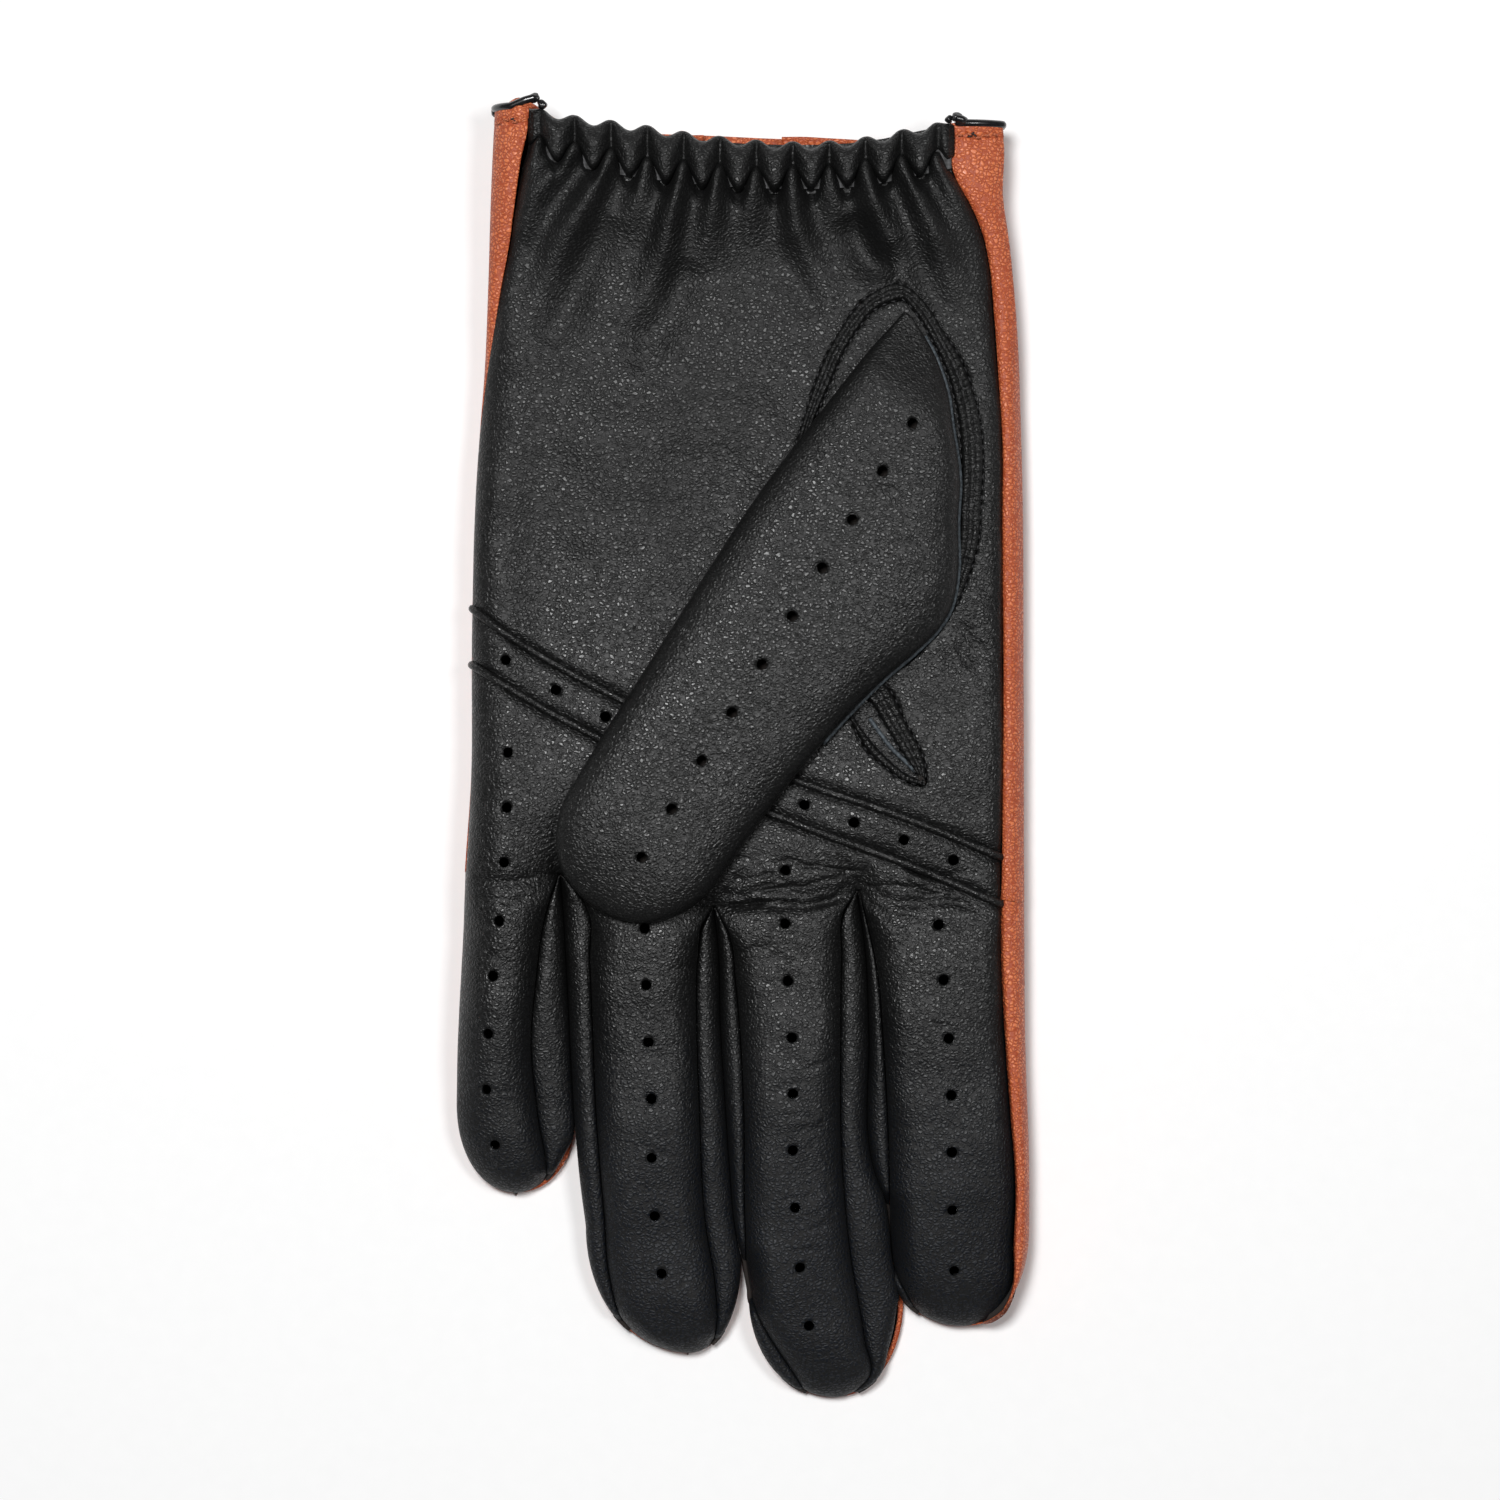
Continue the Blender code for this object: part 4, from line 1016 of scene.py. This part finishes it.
def keyholeOutline():
    half, neck = keyhole["half"], keyhole["neck"]
    start = math.pi / 2 - math.asin(neck / half)
    points = [(neck, 121.0)]
    for i in range(37):
        turn = mix(start, -start - math.pi, i / 36)
        reach = keyhole["down"] if math.sin(turn) < 0 else half
        points.append((half * math.cos(turn), keyhole["y"] + reach * math.sin(turn)))
    return [*points, (-neck, 121.0)]


backCuff = lineThrough([(-46, 114.2), (-43, 114.8), (-40, 115.6), (-38, 115.2), (-34, 112.8), (-24, 110.0),
                        (-10, 108.4),
                        (8, 107.8), (22, 108.2), (38, 111.0), (44, 112.2), (48, 112.2)])
hem = {"left": 112.4, "right": 109.9, "piping": 0.72}


def handBackPath(y):
    left, right, seam = float(handLeft(y)), float(handRight(y)), float(palmRight(y))
    top, bottom = float(frontLevel(y)), float(backLevel(y))
    edge, half = glove["edgeRound"], (top - bottom) / 2
    roll = rightRoll(top, bottom, seam, right)
    inset = max(float(leftInset(y)), 0)
    last = -math.radians(1) if inset < 0.1 else math.acos(1 - (inset - 0.1) / edge)
    turn = np.linspace(-math.pi / 2, last, 40)
    end = np.column_stack([left + edge * (1 - np.cos(turn)), bottom + half * (1 + np.sin(turn))])
    end[:, 1] -= 0.9 * np.exp(-((end[:, 0] - left - inset) / 1.1) ** 2) * ease(inset / 2) * (turn > 0)
    flat = np.column_stack([np.linspace(roll[-1, 0], end[0, 0], 80)[1:-1], np.full(78, bottom)])
    return np.concatenate([roll, flat, end])


def handBackRow(v):
    y = mix(-26.0, 112.5, v)
    path = handBackPath(y)
    x = path[:, 0]
    under = path[:, 1] < (frontLevel(y) + backLevel(y)) / 2
    front = np.where(x < 0, 115.2, 112.2)
    high = np.where(under, backCuff(x), front)
    ys = y + (rootLine(x) + 26.0) * ease(1 - v * 5) + (high - 112.5) * ease((v - 0.75) / 0.25)
    return np.column_stack([x, ys, path[:, 1]])


def backRelief(x, y):  # three raised points
    lift = 0 * x
    for top, foot in (((-16, 46), (-19, -8)), ((3, 50), (3, -12)), ((22, 46), (25, -8))):
        lift = lift - stroke(x, y, [top, mix(np.array(top), np.array(foot), 0.5), foot], 0.7, 1.0)
    return lift


def hemRelief(x, y, z):  # the turned hem at both cuff corners
    line = np.where(x < 0, hem["left"], hem["right"]) + 0.35 * np.sin(x * 1.3)
    groove = -0.55 * np.exp(-((y - line) / 0.45) ** 2) + 0.35 * ease((y - line) / 0.6)
    return groove * (z > 8)


def pipingRoute():
    row = handBackRow(1.0)
    under = row[:, 2] < 8
    neck = keyhole["neck"]
    right = row[(row[:, 0] > neck) | ~under & (row[:, 0] > 0)]
    left = row[(row[:, 0] < -neck) | ~under & (row[:, 0] < 0)]
    outline = np.array([p for p in keyholeOutline() if p[1] < 106])
    loop = np.column_stack([outline, backLevel(outline[:, 1])])
    knots = [(38.2, 113.0, 15.0), (39.6, 112.7, 14.8)], [(-39.0, 116.2, 14.9), (-37.2, 116.7, 15.0)]
    route = np.concatenate([knots[0], right[6:], loop, left[:-6], knots[1]])
    return evenly(route, 900)


def makeBack():
    back = gridSheet(handBackRow, cells(215), cells(140), facing=(0, 0, -1))
    places = np.array([vert.co for vert in back.verts])
    under = (places[:, 2] < 5.5) & (np.abs(places[:, 0]) < 38)
    lifts = backRelief(places[:, 0], places[:, 1]) * under
    hems = hemRelief(*places.T)
    soft = 0.22 * middling(places[:, 0] * 0.8, places[:, 1] * 0.5 + 40) * (places[:, 2] > 6)
    for vert, lift in zip(back.verts, lifts + hems + soft):
        vert.co.z += lift
    cutShape(back, keyholeOutline(), reach=0.8, below=8.0)
    piece("handBack", back, "tan_leather", "hand", instead=["hand_back"], wall=glove["wall"])
    tube("cuffPiping", pipingRoute(), hem["piping"], "black_piping", "hand", instead=["cuff_piping"])
    print("back done")


knotPlaces = [  # where the piping's ends are tied off: place, size, turn
    ((-37.3, 116.6, 14.6), (2.0, 1.7, 1.7), 0.5), ((-35.9, 115.5, 14.4), (1.8, 1.5, 1.6), -0.6),
    ((38.3, 113.2, 14.6), (2.0, 1.6, 1.6), 0.2), ((36.9, 112.9, 14.2), (1.4, 1.3, 1.4), 0.9),
]


def makeCuffCorners():
    knots = bmesh.new()
    for place, size, turn in knotPlaces:
        turned = Matrix.Rotation(turn, 4, "Z") @ Matrix.Diagonal((*size, 1))
        shape = Matrix.Translation(Vector(place)) @ turned
        bmesh.ops.create_icosphere(knots, subdivisions=3, radius=0.5, matrix=shape)
    for vert in knots.verts:
        x, y, z = vert.co
        vert.co += 0.12 * Vector((math.sin(y * 6), math.sin(z * 7), math.sin(x * 6)))
    piece("pipingKnots", knots, "black_piping", "hand")

    def facingRow(v):  # the facing of the back, which shows as a second tan edge behind the casing
        x = np.linspace(-43.4, 45.0, 180)
        rim = backCuff(x) + 1.1 + 1.0 * np.exp(-((x + 40.4) / 2.2) ** 2) + 1.7 * np.exp(-((x - 3) / 19) ** 4)
        y = mix(rim - 4.0, rim, v)
        z = 6.2 + 0.25 * np.sin(x * 0.7) + 0.6 * ease((v - 0.6) / 0.4)
        return np.column_stack([x, y, z])

    facing = gridSheet(facingRow, 180, 10)
    gone = [f for f in facing.faces if abs(f.calc_center_median().x) < keyhole["neck"]]
    bmesh.ops.delete(facing, geom=gone, context="FACES")
    piece("backFacing", facing, "tan_leather", "hand", wall=0.8)
    marks = []
    for low, high, y in ((-43.8, -38.9, hem["left"]), (37.3, 46.4, hem["right"])):
        x = np.linspace(low, high, 30)
        line = y + 0.35 * np.sin(x * 1.3)
        bend = np.clip(np.minimum(x - handLeft(line), handRight(line) - x) / 5, 0, 1)
        z = frontLevel(line) - 0.3 - 3.6 * (1 - np.sqrt(1 - (1 - bend) ** 2)) - (0.6 if x[0] > 0 else 0)
        marks += alongLine(np.column_stack([x, line, z]), 1.7)
    stitches("hemStitches", marks, (1.25, 0.42, 0.36), "tan_thread", "hand")
    strays = [((-41.1, 112.9, 14.9), (1, 0.3, 0)), ((-40.6, 112.4, 14.9), (1, -0.6, 0)),
              ((41.1, 110.3, 14.6), (1, 0.8, 0)), ((41.5, 110.0, 14.7), (1, -0.7, 0)),
              ((40.6, 109.8, 14.6), (1, 0.2, 0))]
    stitches("strayThreads", strays, (1.1, 0.34, 0.30), "thread", "hand")


strap = {"left": -17.0, "right": 25.0, "low": 97.0, "high": 110.9, "corner": 6.0, "thickness": 1.7}


def strapLevel(x):
    return 1.2 + 2.1 * ease((9.5 - x) / 20)


def strapEdges(x):  # lower and upper edge; the stud end is rounded
    over = np.clip((x - strap["right"] + strap["corner"]) / strap["corner"], 0, 1)
    cut = strap["corner"] * (1 - np.sqrt(1 - over**2.2 + 1e-9))
    slope = 0.03 * (x - 4)
    return strap["low"] + cut - slope * 0.4, strap["high"] - cut - slope


def superRound(angle, power):  # cosine squared off (or sharpened) for a section's side
    return np.sign(np.cos(angle)) * np.abs(np.cos(angle)) ** power


def makeStrap():
    def rowAt(v):  # once round the strap's section
        x = mix(strap["left"], strap["right"] - 0.02, v)
        low, high = (float(e) for e in strapEdges(np.array(x)))
        turn = np.linspace(0, math.tau, 90)
        middle, half = (low + high) / 2, (high - low) / 2
        y = middle + half * superRound(turn, 0.22)
        z = strapLevel(x) + strap["thickness"] / 2 * (1 + superRound(turn - math.pi / 2, 0.7))
        return np.column_stack([np.full_like(y, x), y, z])

    band = gridSheet(rowAt, 90, 80, facing=(0, 0, 1))
    bmesh.ops.remove_doubles(band, verts=band.verts, dist=0.02)
    bmesh.ops.holes_fill(band, edges=[e for e in band.edges if e.is_boundary])
    bmesh.ops.recalc_face_normals(band, faces=band.faces)
    piece("wristStrap", band, "tan_leather", "strap", instead=["wrist_strap"])
    x = np.linspace(strap["left"] + 1.5, strap["right"] - 2.0, 60)
    low, high = strapEdges(x)
    lower = np.column_stack([x, low + 1.5, strapLevel(x) - 0.05])
    upper = np.column_stack([x, high - 1.5, strapLevel(x) - 0.05])[::-1]
    loop = np.concatenate([lower, upper, lower[:1]])
    stitches("strapStitches", alongLine(loop, 1.9), (1.35, 0.42, 0.34), "tan_thread", "strap")


makeBack()
makeCuffCorners()
makeStrap()


# the gathered cuff

casing = {
    "rise": [(0, -2.4), (0.05, -0.4), (0.11, 1.0), (0.3, 2.1), (0.5, 2.2), (0.66, 1.3), (0.76, -0.4),
             (0.85, -2.6), (1.0, -6.5)],
    "reach": [(0, 0.0), (0.1, 0.08), (0.3, 0.36), (0.5, 0.72), (0.66, 0.95), (0.76, 1.0), (0.85, 0.97),
              (1.0, 0.86)],
    "ripple": 1.7,
}
casingRise, casingReach = lineThrough(casing["rise"]), lineThrough(casing["reach"])


def casingRow(v):
    x = np.linspace(-38.4, 37.9, 400)
    phase = gatherPhase(x)
    inside = ease((x + 38.3) / 4) * ease((37.6 - x) / 4)
    top = cuffEdge(x) - gathers["scallop"] * np.cos(phase) * inside
    y = mix(zigzag(x), top, casingReach(v))
    puff = 2 * np.abs(np.cos(phase / 2)) ** 0.6 - 1  # full rounds parted by narrow creases
    puff = np.where(puff > 0, puff * ease(v / 0.12), puff)
    ripple = casing["ripple"] * puff * (1 - 0.65 * ease((v - 0.45) / 0.3)) * inside
    base = frontLevel(y) - 1.9 + 0.25 * middling(x * 2, y * 2)
    ends = -1.2 * (1 - ease((x + 38.3) / 1.5)) - 1.2 * (1 - ease((37.9 - x) / 1.5))
    return np.column_stack([x, y, base + casingRise(v) + ripple + ends])


def makeCuff():
    build = gridSheet(casingRow, cells(120), 44)
    piece("cuffCasing", build, "black_leather", "hand", instead=["cuff_casing"], wall=0.8)
    print("cuff done")


makeCuff()


# the thumb

thumb = {
    "root": (29.2, 78.8), "aim": 234.9, "cap": 103.0, "tip": 119.6, "tipAcross": 15.5,
    "left": [(0, 0.0), (10, -1.2), (22, -1.9), (42, -2.6), (74, -1.4), (95, -0.5), (104, 0.1)],
    "right": [(0, 0.6), (3, 7.6), (7, 13.6), (12.3, 18.8), (18.9, 25.0), (26, 29.6), (33, 34.6),
              (39.4, 37.4), (44, 37.6),
              (49, 36.7), (56, 34.9), (63, 33.6), (78, 31.9), (93, 31.3), (104, 31.3)],
    "foot": 14.1, "top": 20.6, "capRows": 0.22,
}
thumbLeft, thumbRight = lineThrough(thumb["left"]), lineThrough(thumb["right"])
thumbFold = {"start": (38.6, 50.6, 14.0), "end": (29.6, 49.4, 14.0)}


def thumbPlace(along, across, z):
    aim = math.radians(thumb["aim"])
    x = thumb["root"][0] + along * math.cos(aim) - across * math.sin(aim)
    y = thumb["root"][1] + along * math.sin(aim) + across * math.cos(aim)
    return np.column_stack([x, y, z])


def thumbEdges(along):
    if along < thumb["cap"]:
        return float(thumbLeft(along)), float(thumbRight(along)), 1.0
    t = (along - thumb["cap"]) / (thumb["tip"] - thumb["cap"])
    keep = max(1 - t**2.1, 0) ** (1 / 2.1)
    left, right, centre = float(thumbLeft(thumb["cap"])), float(thumbRight(thumb["cap"])), thumb["tipAcross"]
    return centre + (left - centre) * keep, centre + (right - centre) * keep, keep**0.85


def thumbStation(v):
    capRows = thumb["capRows"]
    if v < capRows:
        return thumb["cap"] + (thumb["tip"] - thumb["cap"]) * math.sin(math.radians(mix(88, 0, v / capRows)))
    return mix(thumb["cap"], 0.5, (v - capRows) / (1 - capRows))


def thumbFrontRow(v):
    along = thumbStation(v)
    left, right, keep = thumbEdges(along)
    turn = np.linspace(math.pi, 0, 160)
    across = (left + right) / 2 + (right - left) / 2 * superRound(turn, 0.5)
    root = 0.2 + 0.8 * float(ease(along / 16))
    rise = (thumb["top"] - thumb["foot"]) * keep * root * np.sin(turn) ** 0.62
    return thumbPlace(along, across, thumb["foot"] + rise)


def thumbBackRow(v):
    along = thumbStation(v)
    left, right, _ = thumbEdges(along)
    across = np.linspace(right - 0.3, left + 0.3, 60)
    return thumbPlace(along, across, np.full(60, thumb["foot"] - 0.1))


thumbHoles = [(mix(30.2, -18.0, i / 9), mix(58.1, -19.1, i / 9)) for i in range(10)]
thumbCreases = [
    *wrinkles(21, 26, (22, 55), (10, 16), 8, -30, depth=0.16),
    *wrinkles(22, 26, (0, 12), (14, 22), 8, -35, depth=0.10),
    *wrinkles(23, 12, (33, 34), (4, 10), 6, 20, depth=0.2),
]


def thumbRelief(x, y):
    lift = 0.30 * broad(x * 1.2 + 9, y * 1.2) + 0.08 * middling(x + 5, y)
    for points, width, depth in thumbCreases:
        lift = lift + stroke(x, y, points, width, depth)
    return lift


def makeThumb():
    bends = ("hand", "thumb", thumbFold["start"], thumbFold["end"])
    front = gridSheet(thumbFrontRow, cells(44), cells(125))
    places = np.array([vert.co for vert in front.verts])
    flat = ease((places[:, 2] - thumb["foot"] - 1.5) / 3)
    for vert, lift in zip(front.verts, thumbRelief(places[:, 0], places[:, 1]) * flat):
        vert.co.z += lift
    punch(front, thumbHoles, holeRadius)
    piece("thumbFront", front, "black_leather", bends=bends, instead=["thumb_front"], wall=glove["wall"])
    under = gridSheet(thumbBackRow, cells(34) // 2, cells(125) // 2, facing=(0, 0, -1))
    piece("thumbBack", under, "black_leather", bends=bends, instead=["thumb_back"], wall=0.8)
    print("thumb done")


def gussetRow(v):
    y = mix(-7.5, 84.0, v)
    x = np.linspace(7.5, 43.5, 60)
    z = glove["palmTop"] - 1.6 + 0.3 * middling(x, np.full_like(x, y))
    return np.column_stack([x, np.full_like(x, y), z])


def palmSurface(x, y):
    return palmHeight(x, y) + frontLevel(y) - glove["palmTop"] + palmRelief(x, y)


def bandSheet(name, outer, inner, ridges, rows, instead=()):
    # a puckered band of stitched ridges between two lines
    outside, inside = throughPoints(outer, rows + 1), throughPoints(inner, rows + 1)
    length = np.linalg.norm(np.diff(outside, axis=0), axis=1).sum()
    t = np.linspace(0, 1, 30)

    def rowAt(v):
        i = round(v * rows)
        x, y = (mix(outside[i, k], inside[i, k], t) for k in (0, 1))
        swell = np.abs(np.sin(ridges * math.pi * t)) ** 0.7
        pucker = 1 + 0.20 * math.cos(v * length / thumbHole["pitch"] * math.tau)
        z = 1.15 * swell * pucker - 0.35 - 1.6 * ease((t - 0.88) / 0.12)
        return np.column_stack([x, y, z])

    band = gridSheet(rowAt, cells(2.4 * ridges) + 2, rows)
    press(band, palmSurface)
    piece(name, band, "black_leather", "hand", instead=instead, wall=0.5)
    marks = []
    for ridge in range(ridges):
        for share in (0.04, 0.5 / ridges, 0.96) if ridges == 1 else (0.02, 0.48):
            line = mix(outside, inside, share + ridge / ridges if ridges > 1 else share)
            z = palmSurface(line[:, 0], line[:, 1]) - (0.05 if share < 0.9 else 0.4)
            marks += alongLine(np.column_stack([line, z]), thumbHole["pitch"])
    return marks


def makeThumbHole():
    gusset = gridSheet(gussetRow, cells(36) // 2, cells(90) // 2)
    middle, grown = np.array([27.0, 42.0]), []
    for point in thumbHole["outline"]:  # 1 mm past the hole all round
        out = np.array(point) - middle
        grown.append(tuple(middle + out * (1 + 1.0 / np.linalg.norm(out))))
    cutShape(gusset, grown, keepInside=True)
    piece("thumbGusset", gusset, "black_leather", "hand", instead=["thumb_gusset"], wall=0.6)
    arch = thumbHole["archOuter"], thumbHole["archInner"]
    marks = bandSheet("thumbHoleBand", *arch, 2, 300, ["thumb_hole_welt"])
    marks += bandSheet("slitBandRight", thumbHole["leafRightOuter"], thumbHole["leafRightInner"], 2, 60)
    marks += bandSheet("slitBandLeft", thumbHole["leafLeftOuter"], thumbHole["leafLeftInner"], 1, 60)
    stitches("thumbHoleStitches", marks, (1.1, 0.36, 0.30), "thread", "hand")
    tube("slitLip", throughPoints(thumbHole["lip"], 30), 0.38, "edge", "hand")
    along = np.linspace(2.0, 72.0, 140)
    edge = thumbPlace(along, thumbRight(along) + 0.10, np.full(140, thumb["foot"] + 0.1))
    tube("thumbRawEdge", edge, 0.42, "edge", bends=("hand", "thumb", thumbFold["start"], thumbFold["end"]))


makeThumb()
makeThumbHole()

# carried-over nodes get the real finishes
for name, node in frame["nodes"].items():
    slot = next(part["material_slot"] for part in frame["record"]["subparts"] if part["node"] == name)
    node.data.materials.clear()
    node.data.materials.append(finishes[slot])
    node.data.shade_flat()

# stage, light and camera

floor = bpy.data.meshes.new("floor")
build = bmesh.new()
bmesh.ops.create_grid(build, x_segments=1, y_segments=1, size=3.0)
build.to_mesh(floor)
build.free()
floorObject = bpy.data.objects.new("floor", floor)
bpy.context.scene.collection.objects.link(floorObject)
paper = Recipe("paper")
fibre = paper.noise(paper.scaled(300, 300, 300), 1.0, 3.0)
white = paper.blend(fibre, (0.90, 0.90, 0.90, 1), (0.93, 0.93, 0.93, 1))
floor.materials.append(paper.finish(Base_Color=white, Roughness=0.9))
floorObject.location.z = -0.0003

lights = {
    "key": {"place": (-0.16, 0.22, 1.04), "size": 0.24, "power": 9.8},
    "fill": {"place": (0.40, 0.10, 1.00), "size": 0.24, "power": 3.2},
}
for name, settings in lights.items():
    lamp = bpy.data.lights.new(name, "AREA")
    lamp.energy, lamp.size = settings["power"], settings["size"]
    holder = bpy.data.objects.new(name, lamp)
    holder.location = settings["place"]
    holder.rotation_euler = (-Vector(settings["place"])).to_track_quat("-Z", "Y").to_euler()
    bpy.context.scene.collection.objects.link(holder)

world = bpy.data.worlds.new("studio")
world.use_nodes = True
world.node_tree.nodes["Background"].inputs["Color"].default_value = (1, 1, 1, 1)
world.node_tree.nodes["Background"].inputs["Strength"].default_value = 0.07
bpy.context.scene.world = world
bpy.context.scene.view_settings.view_transform = "Standard"

view = {"lens": 120.0, "sensor": 36.0, "width": 0.270, "centre": (0.0013, 0.0), "level": 0.009}
eye = bpy.data.cameras.new("overhead")
eye.lens, eye.sensor_width = view["lens"], view["sensor"]
eyeObject = bpy.data.objects.new("overhead", eye)
height = view["width"] / view["sensor"] * view["lens"]
eyeObject.location = (*view["centre"], height + view["level"])
bpy.context.scene.collection.objects.link(eyeObject)
bpy.context.scene.camera = eyeObject
